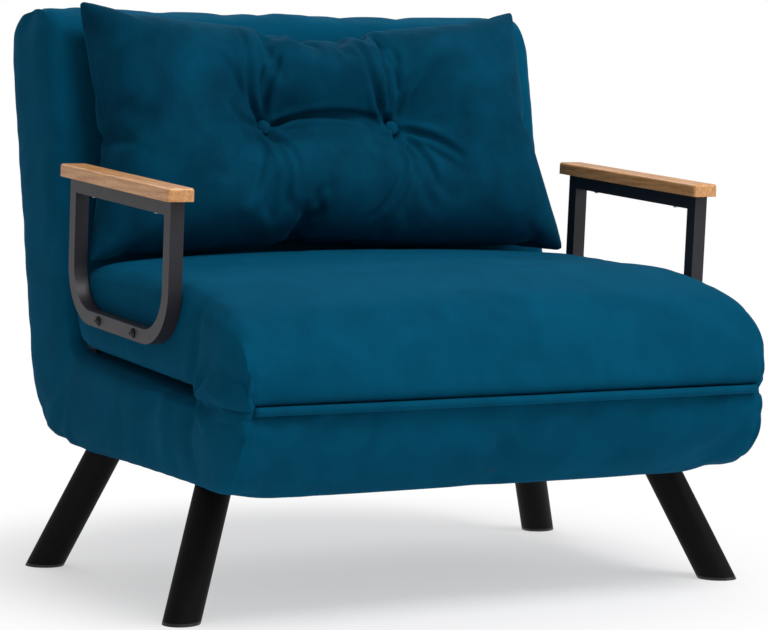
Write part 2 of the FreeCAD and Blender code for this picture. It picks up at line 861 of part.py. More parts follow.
def seat_slats():
    level = seat_rail_level + 6
    front = seat_rail_start + frame_tube
    centre = section_length / 2
    rear = section_length - size("frame_end_foam") - frame_tube
    middles = []
    for low, high in ((front, centre - frame_tube / 2), (centre + frame_tube / 2, rear)):
        middles += [low + (high - low) * (n + 0.5) / 3 for n in range(3)]
    slats = compound([slat(fixed_x, y, level) for y in middles])
    holders = compound([slat_holder(fixed_x, y, level, s) for y in middles for s in (-1, 1)])
    return slats, holders


made_slats, made_holders = seat_slats()
node("seat_slats", form("seat_slats_form", made_slats), "seat")
node("seat_slat_holders", form("seat_slat_holders_form", made_holders), "seat")


def seat_room():
    """Room for the seat frame, the front hinges and the spacers of the arms."""
    tool = box(-fixed_x - 1, fixed_x + 1, seat_rail_start - 1,
               section_length - size("frame_end_foam") + 1,
               seat_rail_level - 0.5, seat_rail_level + frame_tube + 0.5)
    for x in hinge_spots():
        tool = tool.fuse(box(x - hinge_half, x + hinge_half, -20, seat_rail_start + 16,
                             -10, size("seat_clearance") + 3))
        tool = tool.fuse(box(x - hinge_half, x + hinge_half, seat_rail_start + 11,
                             seat_rail_start + 16, 0, seat_rail_level))
    return tool.fuse(arm_holes())


def arm_holes():
    tool = None
    for y, z in ARM_BOLTS:
        hole = across(y, z, 8.4, -half_width - 20, 2 * half_width + 40)
        tool = hole if tool is None else tool.fuse(hole)
    return tool


def seat_cover_room():
    tool = arm_holes()
    for x in hinge_spots():
        tool = tool.fuse(box(x - hinge_half, x + hinge_half, seat_rail_start + 11,
                             seat_rail_start + 16, -20, size("seat_clearance") + 5))
    return tool


whole_seat = seat_cushion(foam_inset).cut(seat_room())
split = seat_rail_level - 0.5
deck = box(-900, 900, -200, 1200, split, 400)
under = box(-900, 900, -200, 1200, -100, split - fit_gap)
node("seat_foam", form("seat_foam_form", whole_seat.common(deck)), "seat")
node("seat_underside_pad", form("seat_underside_form", whole_seat.common(under)), "seat")
seat_cover = seat_cushion(0).cut(seat_cushion(cover_skin)).cut(seat_cover_room())
node("seat_cover", form("seat_cover_form", seat_cover), "seat")
node("front_hinge_moving_leaves",
     form("moving_leaves_form", compound([moving_leaf(x) for x in hinge_spots()])), "seat")


# Armrests: a bent U of square tube closed by a top bar, with a beech board.
def corner(name, grow, x, y, z, turn):
    """A quarter bend of square tube, or of its bore where grow is negative."""
    outer = doc.addObject("Part::Cylinder", name + "_outer")
    inner = doc.addObject("Part::Cylinder", name + "_inner")
    thick = f"arm_tube + 2 * ({grow})"
    bind(outer, Radius=f"arm_bend + arm_tube / 2 + ({grow})", Height=thick, Angle="90")
    bind(inner, Radius=f"arm_bend - arm_tube / 2 - ({grow})", Height=thick, Angle="90")
    for item in (outer, inner):
        item.Placement = FreeCAD.Placement(Vector(), turn)
        place(item, x, y, z)
    return cut(name, outer, inner)


FRONT_BEND = FreeCAD.Rotation(Vector(0, -1, 0), Vector(0, 0, -1), Vector(1, 0, 0), "ZXY")
REAR_BEND = FreeCAD.Rotation(Vector(0, 0, -1), Vector(0, 1, 0), Vector(1, 0, 0), "ZXY")


def arm_loop(name, x, grow):
    """The loop of the arm frame, or of its bore where grow is minus the wall."""
    inner_x = f"{x} - ({grow})"
    thick = f"arm_tube + 2 * ({grow})"
    bend = "arm_bend + arm_tube / 2"
    post = f"arm_height - ({bend})"
    if grow != "0":
        post += " + 5"
    rear = "arm_start + arm_span - arm_tube"
    front_y = f"arm_start - ({grow})"
    bottom = f"arm_level - ({grow})"
    centre_z = f"arm_level + {bend}"
    return fuse(name, [
        block(name + "_front", thick, thick, post, inner_x, front_y, centre_z),
        block(name + "_rear", thick, thick, post, inner_x, f"{rear} - ({grow})", centre_z),
        block(name + "_bottom", thick, f"arm_span - 2 * ({bend})", thick, inner_x,
              f"arm_start + {bend}", bottom),
        block(name + "_top", thick, "arm_span - arm_tube", thick, inner_x,
              "arm_start + arm_tube / 2",
              f"arm_level + arm_height - arm_tube - ({grow})"),
        corner(name + "_front_bend", grow, inner_x, f"arm_start + {bend}", centre_z,
               FRONT_BEND),
        corner(name + "_rear_bend", grow, inner_x, f"arm_start + arm_span - ({bend})",
               centre_z, REAR_BEND),
    ])


def arm_drills(name, x):
    """Bolt holes through the lower bar and screw holes up through the top bar."""
    drills = []
    for number, side in ((1, -1), (2, 1)):
        y = f"arm_start + arm_span / 2 + {side} * arm_bolt_spacing / 2"
        drills.append(rod(f"{name}_bolt{number}", "X", "4.2", "arm_tube + 10",
                          f"{x} - 5", y, "arm_level + arm_tube / 2"))
        y = f"arm_start + arm_span / 2 + {side} * 107"
        drills.append(rod(f"{name}_screw{number}", "Z", "2.7", "arm_tube + 10",
                          f"{x} + arm_tube / 2", y,
                          "arm_level + arm_height - arm_tube - 5"))
    return fuse(name, drills)


for side_name, arm_x in (
    ("left", "half_width + arm_standoff"),
    ("right", "0 - half_width - arm_standoff - arm_tube"),
):
    stem = "arm_" + side_name
    walls = cut(stem + "_walls", arm_loop(stem + "_loop", arm_x, "0"),
                arm_loop(stem + "_bore", arm_x, "0 - arm_wall"))
    drilled = cut(stem + "_drilled", walls, arm_drills(stem + "_drill", arm_x))
    node("arm_frame_" + side_name, drilled, "seat")


def plane_of(body, role):
    return next(f for f in body.Origin.OriginFeatures if f.Role == role)


def arm_board(side_name, low_x):
    """A beech board: a padded rectangle with eased corners and edges."""
    body = doc.addObject("PartDesign::Body", "board_body_" + side_name)
    sketch = body.newObject("Sketcher::SketchObject", "board_outline_" + side_name)
    sketch.AttachmentSupport = (plane_of(body, "XY_Plane"), [""])
    sketch.MapMode = "FlatFace"
    corners = [
        (low_x, "arm_start - board_overhang"),
        (low_x + " + board_width", "arm_start - board_overhang"),
        (low_x + " + board_width", "arm_start - board_overhang + board_length"),
        (low_x, "arm_start - board_overhang + board_length"),
    ]
    ring = [Vector(-1, 0, 0), Vector(1, 0, 0), Vector(1, 9, 0), Vector(-1, 9, 0)]
    for start, end in zip(ring, ring[1:] + ring[:1]):
        sketch.addGeometry(Part.LineSegment(start, end), False)
    for edge in range(4):
        joined = ("Coincident", edge, 2, (edge + 1) % 4, 1)
        sketch.addConstraint(Sketcher.Constraint(*joined))
    for edge, (x, y) in enumerate(corners):
        for direction, words in (("DistanceX", x), ("DistanceY", y)):
            number = sketch.addConstraint(
                Sketcher.Constraint(direction, -1, 1, edge, 1, float(edge + 1))
            )
            label = f"{direction}{edge}"
            sketch.renameConstraint(number, label)
            sketch.setExpression("Constraints." + label, cells(words))
    pad = body.newObject("PartDesign::Pad", "board_pad_" + side_name)
    pad.Profile = sketch
    bind(pad, Length="board_thickness")
    doc.recompute()
    upright_edges = [
        f"Edge{n}" for n, edge in enumerate(pad.Shape.Edges, start=1)
        if abs(edge.BoundBox.ZLength - size("board_thickness")) < 0.01
    ]
    rounded = body.newObject("PartDesign::Fillet", "board_corners_" + side_name)
    rounded.Base = (pad, upright_edges)
    rounded.Radius = 5
    doc.recompute()
    top = [
        f"Edge{n}" for n, edge in enumerate(rounded.Shape.Edges, start=1)
        if edge.BoundBox.ZMin > size("board_thickness") - 0.01
    ]
    eased = body.newObject("PartDesign::Fillet", "board_edges_" + side_name)
    eased.Base = (rounded, top)
    eased.Radius = 4
    body.Tip = eased
    doc.recompute()
    lifted = doc.addObject("Part::Compound", "board_" + side_name)
    lifted.Links = [body]
    place(body, "0", "0", "arm_level + arm_height")
    pilots = fuse(f"board_pilots_{side_name}", [
        rod(f"board_pilot_{side_name}{number}", "Z", "2.45", "13",
            f"{low_x} + board_width / 2",
            f"arm_start + arm_span / 2 + {side} * 107", "arm_level + arm_height - 1")
        for number, side in ((1, -1), (2, 1))
    ])
    return cut("board_drilled_" + side_name, lifted, pilots)


board_left = "half_width + arm_standoff + arm_tube / 2 - board_width / 2"
board_right = "0 - half_width - arm_standoff - arm_tube / 2 - board_width / 2"
node("arm_board_left", arm_board("left", board_left), "seat")
node("arm_board_right", arm_board("right", board_right), "seat")

arm_inner = half_width + size("arm_standoff")
arm_outer = arm_inner + size("arm_tube")


def arm_fixings():
    """Bolts through the lower bars, the spacers behind them and the board screws."""
    made_bolts, spacers, screws = [], [], []
    for y, z in ARM_BOLTS:
        bolt = socket_bolt(7, 4.4, 4, arm_outer - fixed_x + 15, Vector(arm_outer, y, z),
                           Vector(-1, 0, 0))
        made_bolts += mirrored(bolt)
        ring = across(y, z, 8, fixed_x, arm_inner - fixed_x)
        ring = ring.cut(across(y, z, 4.2, fixed_x - 1, arm_inner - fixed_x + 2))
        spacers += mirrored(ring)
    for side in (-1, 1):
        spot = Vector(arm_inner + size("arm_tube") / 2, arm_middle + side * 107,
                      size("arm_level") + size("arm_height") - size("arm_tube"))
        screw = socket_bolt(4.8, 2.8, 2.4, size("arm_tube") + 11, spot, Vector(0, 0, 1))
        screws += mirrored(screw)
    return made_bolts, spacers, screws


made_bolts, made_spacers, made_screws = arm_fixings()
node("arm_bolts", form("arm_bolts_form", compound(made_bolts)), "seat")
node("arm_spacers", form("arm_spacers_form", compound(made_spacers)), "seat")
node("arm_screws", form("arm_screws_form", compound(made_screws)), "seat")


# Backrest. Its frame lies along Z here, with the level measured towards the rear.
head_pivot_y = size("back_thickness") + size("head_leg_standoff")
head_pivot_z = size("head_leg_axis")


def bracket_bolt_spots():
    """Two bolts beside each pivot of the head leg, as x and z."""
    half = size("head_leg_half")
    return [(side * half + x, head_pivot_z) for side in (-1, 1) for x in (-22, 22)]


def back_ladder():
    level = back_rail_middle - frame_tube / 2
    stop = size("back_length") - size("back_end_foam")
    pieces = []
    wall = size("frame_wall")
    half = moving_x

    def tube(x0, x1, z0, z1, along):
        outside = box(x0, x1, level, level + frame_tube, z0, z1)
        if along == "Z":
            inside = box(x0 + wall, x1 - wall, level + wall, level + frame_tube - wall,
                         z0 - 1, z1 + 1)
        else:
            inside = box(x0 - 1, x1 + 1, level + wall, level + frame_tube - wall,
                         z0 + wall, z1 - wall)
        return outside.cut(inside)

    pieces += mirrored(tube(half - frame_tube, half, back_rail_start, stop, "Z"))
    pivot = size("head_leg_axis")
    reach = half - frame_tube
    for z in (back_rail_start, back_rail_start + 160, pivot - frame_tube / 2):
        pieces.append(tube(-reach, reach, z, z + frame_tube, "X"))
    holes = []
    for y, z in MOVING_BOLTS:
        holes += mirrored(across(y, z, 4.05, half - 14, 20))
    for x, z in bracket_bolt_spots():
        start = Vector(x, size("back_thickness") - 16, z)
        holes.append(Part.makeCylinder(3.05, 30, start, Vector(0, 1, 0)))
    return compound([piece.cut(compound(holes)) for piece in pieces])


node("back_frame", form("back_frame_form", back_ladder()), "back")


def back_slat_set():
    level = back_rail_middle - frame_tube / 2 + 6
    bays = (
        (back_rail_start + frame_tube, back_rail_start + 160, 2),
        (back_rail_start + 160 + frame_tube, size("head_leg_axis") - frame_tube / 2, 2),
    )
    middles = []
    for low, high, count in bays:
        middles += [low + (high - low) * (n + 0.5) / count for n in range(count)]
    turn = FreeCAD.Rotation(Vector(1, 0, 0), 90)
    move = FreeCAD.Placement(Vector(0, 0, 0), turn)
    slats = compound([slat(moving_x, y, -level - size("slat_thickness")) for y in middles])
    holders = compound([
        slat_holder(moving_x, y, -level - size("slat_thickness"), s)
        for y in middles for s in (-1, 1)
    ])
    slats.Placement = move
    holders.Placement = move
    return slats, holders


made_slats, made_holders = back_slat_set()
node("back_slats", form("back_slats_form", compound([made_slats])), "back")
node("back_slat_holders", form("back_slat_holders_form", compound([made_holders])), "back")


def back_room():
    """Room for the back frame and for the recline plates."""
    rear = size("back_thickness")
    level = back_rail_middle - frame_tube / 2
    tool = box(-moving_x - 1, moving_x + 1, level - 1, rear + 20, back_rail_start - 1,
               size("back_length") - size("back_end_foam") + 1)
    return tool.fuse(back_hinge_room())


def back_hinge_room():
    """Room for both recline plates, also with the back reclined."""
    tool = hinge_room(0, 0)
    slots = recline_slots(moving_circles(), moving_x, 1.5)
    slots += recline_slots(fixed_circles(), fixed_x, 1.5, far=True)
    for shape in slots:
        tool = tool.fuse(shape)
    return tool


def back_cover_room():
    tool = back_hinge_room()
    for x, z in bracket_bolt_spots():
        start = Vector(x, size("back_thickness") - 20, z)
        tool = tool.fuse(Part.makeCylinder(3.4, 40, start, Vector(0, 1, 0)))
    return tool


node("back_foam", form("back_foam_form", back_cushion(foam_inset).cut(back_room())), "back")
back_cover = back_cushion(0).cut(back_cushion(cover_skin)).cut(back_cover_room())
node("back_cover", form("back_cover_form", back_cover), "back")
node("recline_moving_plates",
     form("recline_moving_form",
          recline_plate(moving_circles(), moving_x, (0, 0), MOVING_BOLTS)), "back")
node("recline_back_bolts",
     form("recline_back_bolts_form", side_bolts(MOVING_BOLTS, moving_x + plate, 12)), "back")


# Head leg: a bent tube that folds flat against the rear of the backrest.
def head_bracket(side):
    """A bent bracket: a flange on the rear face and an ear beside the tube."""
    x = side * size("head_leg_half")
    tube = size("head_leg_tube")
    face = size("back_thickness") + fit_gap
    flange = box(x - 32, x + 32, face, face + 3, head_pivot_z - 12, head_pivot_z + 12)
    near = x + side * (tube + 1)
    ear_x = min(near, near + side * 3)
    ear = box(ear_x, ear_x + 3, face, head_pivot_y, head_pivot_z - 10, head_pivot_z + 10)
    ear = ear.fuse(across(head_pivot_y, head_pivot_z, 10, ear_x, 3))
    shape = flange.fuse(ear)
    shape = shape.cut(across(head_pivot_y, head_pivot_z, 4.25, ear_x - 5, 13))
    for hole_x, z in bracket_bolt_spots():
        hole = Part.makeCylinder(3.2, 20, Vector(hole_x, face - 5, z), Vector(0, 1, 0))
        shape = shape.cut(hole)
    return shape.removeSplitter()


node("head_leg_brackets",
     form("head_leg_brackets_form", compound([head_bracket(s) for s in (-1, 1)])), "back")
bracket_bolts = [
    hex_bolt(5.5, 3.4, 3, 18, Vector(x, size("back_thickness") + fit_gap + 3, z),
               Vector(0, -1, 0))
    for x, z in bracket_bolt_spots()
]
node("head_leg_bracket_bolts", form("bracket_bolts_form", compound(bracket_bolts)), "back")

head_recline = rear_axis_height - head_pivot_y
sleeve_radius = size("head_leg_tube") + size("sleeve_wall")
head_leg_drop = head_recline - 0.5 - sleeve_radius


def head_leg_form():
    """A U of round tube. Its open ends are drilled for the pivot bolts and rounded."""
    half = size("head_leg_half")
    bend = size("head_leg_bend")
    low = head_pivot_z - head_leg_drop
    y = head_pivot_y
    clear = size("head_leg_tube") + 0.6
    tubes = []
    for radius, extra in ((size("head_leg_tube"), 0), (size("head_leg_tube") - 1.5, 1)):
        shape = across(y, low, radius, bend - half, 2 * (half - bend))
        for side in (-1, 1):
            start = Vector(side * half, y, low + bend)
            ring = Part.Face(Part.Wire([Part.Circle(start, Vector(0, 0, 1), radius).toShape()]))
            centre = Vector(side * (half - bend), y, low + bend)
            shape = shape.fuse(ring.revolve(centre, Vector(0, side, 0), 90))
            reach = head_leg_drop - bend + clear + extra
            shape = shape.fuse(Part.makeCylinder(radius, reach, start))
        tubes.append(shape)
    shape = tubes[0].cut(tubes[1])
    for side in (-1, 1):
        x = side * half
        above = box(x - 12, x + 12, y - 12, y + 12, head_pivot_z, head_pivot_z + 20)
        shape = shape.cut(above.cut(across(y, head_pivot_z, clear, x - 13, 26)))
        shape = shape.cut(across(y, head_pivot_z, 4 + pin_play, x - 20, 40))
    return shape


def head_sleeves():
    """Plastic sleeves on the lower bar, which stand on the floor."""
    low = head_pivot_z - head_leg_drop
    made = []
    for side in (-1, 1):
        x = side * 180 - 20
        ring = across(head_pivot_y, low, sleeve_radius, x, 40)
        made.append(ring.cut(across(head_pivot_y, low, size("head_leg_tube") + 0.02,
                                    x - 1, 42)))
    return compound(made)


def head_pivots():
    """Bolts through the brackets and the tube's ends."""
    tube = size("head_leg_tube")
    start = size("head_leg_half") + tube + 4.2
    bolt = socket_bolt(7, 4, 4, 2 * tube + 8, Vector(start, head_pivot_y, head_pivot_z),
                       Vector(-1, 0, 0))
    return compound(mirrored(bolt))


node("head_leg", form("head_leg_form", head_leg_form()), "back")
node("head_leg_sleeves", form("head_leg_sleeves_form", head_sleeves()), "back")
node("head_leg_pivots", form("head_leg_pivots_form", head_pivots()), "back")


# Side tag: a bare folded ribbon sewn into the backrest's side seam.
def side_tag():
    z = 417
    return box(0.6 - half_width, 1.8 - half_width, 14, 34, z - 12, z + 12)


# Rear fold: the cover that bridges the corner between the base and the backrest.
def back_spot(y, z):
    """A point of the backrest's frame in the base's frame."""
    lean = math.radians(size("back_lean"))
    return (
        section_length + y * math.cos(lean) + z * math.sin(lean),
        rear_axis_height - y * math.sin(lean) + z * math.cos(lean),
    )


def fold_region(inset):
    """The corner's outer form between the base's rear and the backrest's rear face."""
    low = size("base_underside") + inset
    rear = size("back_thickness") - inset
    base_end_y = section_length - 2 + fit_gap
    high = back_spot(rear, 78)
    bend_end = back_spot(rear, -38)
    bend_mid = back_spot(rear - 14, -84)
    start = (base_end_y, low)
    flat = (section_length + 40, low + 4)
    inner = back_spot(10, 40)
    points = [
        Vector(0, *start), Vector(0, *flat), Vector(0, *bend_mid), Vector(0, *bend_end),
        Vector(0, *high), Vector(0, *inner), Vector(0, base_end_y, 300),
    ]
    wire = chain(points + points[:1], ("line", "arc", "line", "line", "line", "line"))
    half = half_width - 4 - inset
    face = Part.Face(wire)
    face.translate(Vector(-half, 0, 0))
    return face.extrude(Vector(2 * half, 0, 0))


def rear_fold():
    """The skin of that corner: an outer band with a gusset at each side."""
    skin = 2.5
    wide = half_width + 5
    outer = fold_region(0)
    inner = fold_region(skin)
    base_part = Part.Face(base_outline(-wide, 0.0, size("base_crown"), -fit_gap))
    base_part = base_part.extrude(Vector(2 * wide, 0, 0))
    back_part = Part.Face(back_outline(-wide, 0.0, size("back_crown"), -fit_gap))
    back_part = back_part.extrude(Vector(2 * wide, 0, 0))
    back_part.Placement = FreeCAD.Placement(
        Vector(0, section_length, rear_axis_height),
        FreeCAD.Rotation(Vector(1, 0, 0), -size("back_lean")),
    )
    return outer.cut(inner).cut(back_part).cut(base_part)


node("rear_fold", form("rear_fold_form", rear_fold()), "base")
node("side_tag", form("side_tag_form", side_tag()), "back")


# Pillow, in the frame of the chair: it stands on the seat and leans on the backrest.
PILLOW_STATIONS = ((1.0, 0.06, 6), (0.95, 0.4, 0), (0.8, 0.72, -5), (0.45, 0.95, -9))


def pillow_outline(x, swell, lift, inset):
    """Rear face on the backrest, foot on the seat, front swelling out."""
    def at(y, z, mid_y, mid_z, push_y=0, push_z=0):
        return Vector(
            x,
            mid_y + (y - mid_y) * swell + push_y * (inset - seam),
            mid_z + (z - mid_z) * swell + push_z * inset,
        )

    foot = lift / 2
    seam = 4
    spots = [
        at(625, 820 + lift, 621, 818 + lift, -1, -2),
        at(608.6, 645, 590, 645, -1),
        at(581.6, 486, 572, 488 - foot, -1, 1),
        at(574.6, 464, 568, 472 - foot, -1, 1),
        at(556, 453.6 - foot, 560, 464 - foot, 0, 1),
        at(470, 454.4 - foot, 552, 462 - foot, 0, 1),
        at(434, 490, 556, 492, 1, 1),
        at(426, 560, 575, 560, 1),
        at(482, 716, 600, 720, 1, -0.5),
        at(617, 824 + lift, 621, 822 + lift, 1, -2),
    ]
    ring = []
    kinds = ("arc", "arc", "line", "arc", "arc", "line")
    pieces = (4, 2, 1, 2, 5, 1)
    for edge, count in zip(chain(spots + spots[:1], kinds).OrderedEdges, pieces):
        ring += edge.discretize(count + 1)[:-1]
    return Part.makePolygon(ring + ring[:1])


def pillow_form(inset):
    half = size("pillow_half") - inset
    left = [(-part * half, swell, lift, inset) for part, swell, lift in PILLOW_STATIONS]
    right = [(-x, swell, lift, inset) for x, swell, lift, inset in reversed(left)]
    shape = loft(left + [(0.0, 1.0, -10, inset)] + right, pillow_outline)
    shape.translate(Vector(size("pillow_x"), 0, 0))
    return shape


cloth = size("pillow_cloth")
pillow_whole = pillow_form(0)
filling = pillow_form(cloth).scaled(0.93, Vector(size("pillow_x"), 530, 467))
node("pillow_filling", form("pillow_filling_form", filling), "base")
node("pillow_cover", form("pillow_cover_form", pillow_whole.cut(pillow_form(cloth))), "base")


def pillow_buttons():
    made = []
    for side in (-1, 1):
        x = size("pillow_x") - 25 + side * size("button_spacing") / 2
        radius = size("button_radius")
        spot = Vector(x, 437, 632)
        lean = Vector(0, -0.86, 0.5)
        dome = Part.makeSphere(radius * 1.2, spot - lean * 8)
        clip = Part.makeCylinder(radius, 26, spot - lean * 6, lean)
        made.append(dome.common(clip).cut(pillow_form(-fit_gap)))
    return compound(made)


node("pillow_buttons", form("pillow_buttons_form", pillow_buttons()), "base")

doc.recompute()
for item in doc.Objects:
    if any(word in item.State for word in ("Invalid", "Error")):
        raise RuntimeError(f"{item.Label} is {item.State}")
for item in nodes:
    if item.Shape.isNull() or not item.Shape.isValid() or not item.Shape.Solids:
        raise RuntimeError(f"{item.Label} has no valid shape")

os.makedirs("parts", exist_ok=True)
for item in nodes:
    item.Shape.exportStep(os.path.join("parts", item.Label + ".step"))
    box_now = item.Shape.BoundBox
    print(f"{item.Label}: {len(item.Shape.Solids)} solids, {item.Shape.Volume:.0f} mm3, "
          f"y {box_now.YMin:.1f} to {box_now.YMax:.1f}, z {box_now.ZMin:.1f} to {box_now.ZMax:.1f}")
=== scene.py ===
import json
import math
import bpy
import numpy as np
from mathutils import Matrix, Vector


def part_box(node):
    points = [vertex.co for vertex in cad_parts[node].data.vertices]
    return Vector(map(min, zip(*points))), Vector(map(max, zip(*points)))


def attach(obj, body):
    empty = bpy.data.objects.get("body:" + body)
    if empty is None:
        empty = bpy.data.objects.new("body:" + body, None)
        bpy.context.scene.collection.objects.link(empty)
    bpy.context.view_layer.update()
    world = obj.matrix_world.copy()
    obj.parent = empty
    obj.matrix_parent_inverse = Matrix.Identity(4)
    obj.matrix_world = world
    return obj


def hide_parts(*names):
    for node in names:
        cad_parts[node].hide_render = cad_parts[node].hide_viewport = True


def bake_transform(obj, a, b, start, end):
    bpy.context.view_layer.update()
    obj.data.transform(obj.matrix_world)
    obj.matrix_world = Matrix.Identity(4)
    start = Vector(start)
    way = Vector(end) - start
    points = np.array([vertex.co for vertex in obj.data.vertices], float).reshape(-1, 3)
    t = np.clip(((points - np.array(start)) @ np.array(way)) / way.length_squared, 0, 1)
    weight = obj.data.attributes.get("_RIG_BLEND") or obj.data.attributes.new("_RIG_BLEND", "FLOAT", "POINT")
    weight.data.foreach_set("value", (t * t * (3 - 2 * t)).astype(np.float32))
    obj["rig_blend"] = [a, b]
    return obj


bl_info = {
    "name": "Velvet Chair Bed",
    "version": (1, 0, 0),
    "blender": (4, 5, 0),
    "location": "3D View > Sidebar > Chair Bed",
    "description": "Upholsters and finishes a fold-out chair bed on its steel frame",
    "category": "Object",
}

import bmesh
import bpy
from bpy.props import FloatProperty, FloatVectorProperty, IntProperty, PointerProperty
from mathutils import Matrix, Vector, noise

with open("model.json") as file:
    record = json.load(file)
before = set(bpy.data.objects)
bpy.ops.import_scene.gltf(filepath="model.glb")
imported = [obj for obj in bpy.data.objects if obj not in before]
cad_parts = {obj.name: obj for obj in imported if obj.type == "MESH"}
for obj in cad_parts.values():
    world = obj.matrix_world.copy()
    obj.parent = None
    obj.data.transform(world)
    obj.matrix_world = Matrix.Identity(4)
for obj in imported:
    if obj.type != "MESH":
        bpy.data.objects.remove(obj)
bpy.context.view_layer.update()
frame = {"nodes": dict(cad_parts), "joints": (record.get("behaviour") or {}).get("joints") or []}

MM = 0.001
JOINTS = {joint["name"]: joint for joint in frame["joints"]}
FRONT_AXIS = Vector(JOINTS["seat_flip"]["pos_m"])
REAR_AXIS = Vector(JOINTS["back_recline"]["pos_m"])
HALF_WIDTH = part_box("seat_cover")[1].x
SEAT_TILT = math.radians(3.04)
BACK_LEAN = math.radians(-10.5)
SEAT_CROWN = 13 * MM
BACK_CROWN = 8 * MM

# Each section's outline is drawn in its own frame: Y to the rear, Z up.
BASE_PLACE = Matrix.Translation((0, FRONT_AXIS.y, 0))
SEAT_PLACE = Matrix.Translation(FRONT_AXIS) @ Matrix.Rotation(SEAT_TILT, 4, "X")
BACK_PLACE = Matrix.Translation(REAR_AXIS) @ Matrix.Rotation(BACK_LEAN, 4, "X")


def linear(code):
    """An sRGB hex colour as linear RGBA."""
    channels = [int(code[at:at + 2], 16) / 255 for at in (1, 3, 5)]
    return [c / 12.92 if c <= 0.04045 else ((c + 0.055) / 1.055) ** 2.4
            for c in channels] + [1.0]


def sized(name, default, description):
    """A length that the user can set, in metres."""
    return FloatProperty(name=name, default=default, description=description, unit="LENGTH")


def tinted(name, code, description):
    """A colour that the user can set."""
    return FloatVectorProperty(name=name, default=linear(code), description=description,
                               subtype="COLOR", size=4, min=0.0, max=1.0)


class ChairSizes(bpy.types.PropertyGroup):
    """Sizes of the upholstery and the studio"""
    mesh_step: sized("Mesh step", 0.016, "Spacing of the cloth mesh on the mattress sections")
    seam_depth: sized("Seam depth", 0.003, "How deep the sewn seams pull in")
    welt_radius: sized("Welt radius", 0.0062, "Piping along the front fold")
    pillow_width: sized("Pillow width", 0.80, "Width of the pillow's cloth before it is filled")
    pillow_height: sized("Pillow height", 0.43, "Height of the pillow's cloth before it is filled")
    button_radius: sized("Button radius", 0.011, "Covered buttons of the pillow")
    floor_size: sized("Floor size", 30.0, "Side of the studio floor")
    swell_frames: IntProperty(name="Swell steps", default=20, min=5, max=60,
                              description="Steps of the cloth simulation")


class ChairColours(bpy.types.PropertyGroup):
    """Colours of the chair's finishes and the studio floor"""
    velvet: tinted("Velvet", "#004a66", "Velvet seen along the pile")
    velvet_deep: tinted("Velvet, deep", "#003f58", "Velvet seen against the pile")
    # Painted shade: the pillow's velvet is the same cloth made darker, standing in for the shade on its
    # upright face, which the lamps light less than the seat.
    velvet_pillow_shade: tinted("Velvet, pillow shade", "#002c40", "Pillow velvet darkened as painted shade")
    velvet_sheen: tinted("Velvet sheen", "#0a6f96", "Light that the pile throws back")
    beech: tinted("Beech", "#d89f66", "Lacquered beech")
    beech_grain: tinted("Beech grain", "#b87b42", "Late wood and pores of the beech")
    arm_coat: tinted("Arm frame coat", "#2b2a30", "Graphite powder coat")
    leg_paint: tinted("Leg paint", "#0d0c0d", "Matt black paint")
    zinc: tinted("Zinc", "#b9bbc0", "Zinc plate")
    tag: tinted("Tag", "#c2203a", "Woven ribbon of the side tag")
    floor: tinted("Floor", "#f2f1f3", "Studio floor")


# Materials

def new_material(name):
    """An empty node material and its Principled shader."""
    material = bpy.data.materials.new(name)
    material.use_nodes = True
    return material, material.node_tree.nodes["Principled BSDF"]


def add(owner, kind, inputs=None, **settings):
    """Adds a node to a material or world. An input is a value, or the output that feeds it."""
    item = owner.node_tree.nodes.new(kind)
    for name, value in settings.items():
        setattr(item, name, value)
    join(owner, item, inputs or {})
    return item


def join(owner, item, inputs):
    """Links or sets the inputs of a node."""
    for name, value in inputs.items():
        if isinstance(value, bpy.types.NodeSocket):
            owner.node_tree.links.new(value, item.inputs[name])
        else:
            item.inputs[name].default_value = value


def ramp(material, factor, stops):
    """A colour ramp through (position, colour) stops."""
    item = add(material, "ShaderNodeValToRGB", {"Fac": factor})
    stripes = item.color_ramp.elements
    while len(stripes) < len(stops):
        stripes.new(0.5)
    for stripe, (position, colour) in zip(stripes, stops):
        stripe.position = position
        stripe.color = colour
    return item.outputs["Color"]


def grey(value):
    """A grey of the given linear value."""
    return (value, value, value, 1.0)


def coordinates(material, scale=(1, 1, 1)):
    """Object coordinates in metres, stretched along the axes."""
    place = add(material, "ShaderNodeTexCoord").outputs["Object"]
    mapping = add(material, "ShaderNodeMapping", {"Vector": place, "Scale": scale})
    return mapping.outputs["Vector"]


def noise_field(material, size_mm, detail=2.0, scale=(1, 1, 1), distortion=0.0):
    """A noise whose features are about the given size."""
    return add(material, "ShaderNodeTexNoise", {
        "Vector": coordinates(material, scale), "Scale": 1 / (size_mm * MM),
        "Detail": detail, "Distortion": distortion}).outputs["Fac"]


def dimmed(colour, share):
    """The same colour with only a share of its light."""
    return [channel * share for channel in colour[:3]] + [1.0]


def relief(material, height, strength, depth_mm):
    """The normal of a surface with a fine relief."""
    bump = add(material, "ShaderNodeBump", {
        "Height": height, "Strength": strength, "Distance": depth_mm * MM})
    return bump.outputs["Normal"]


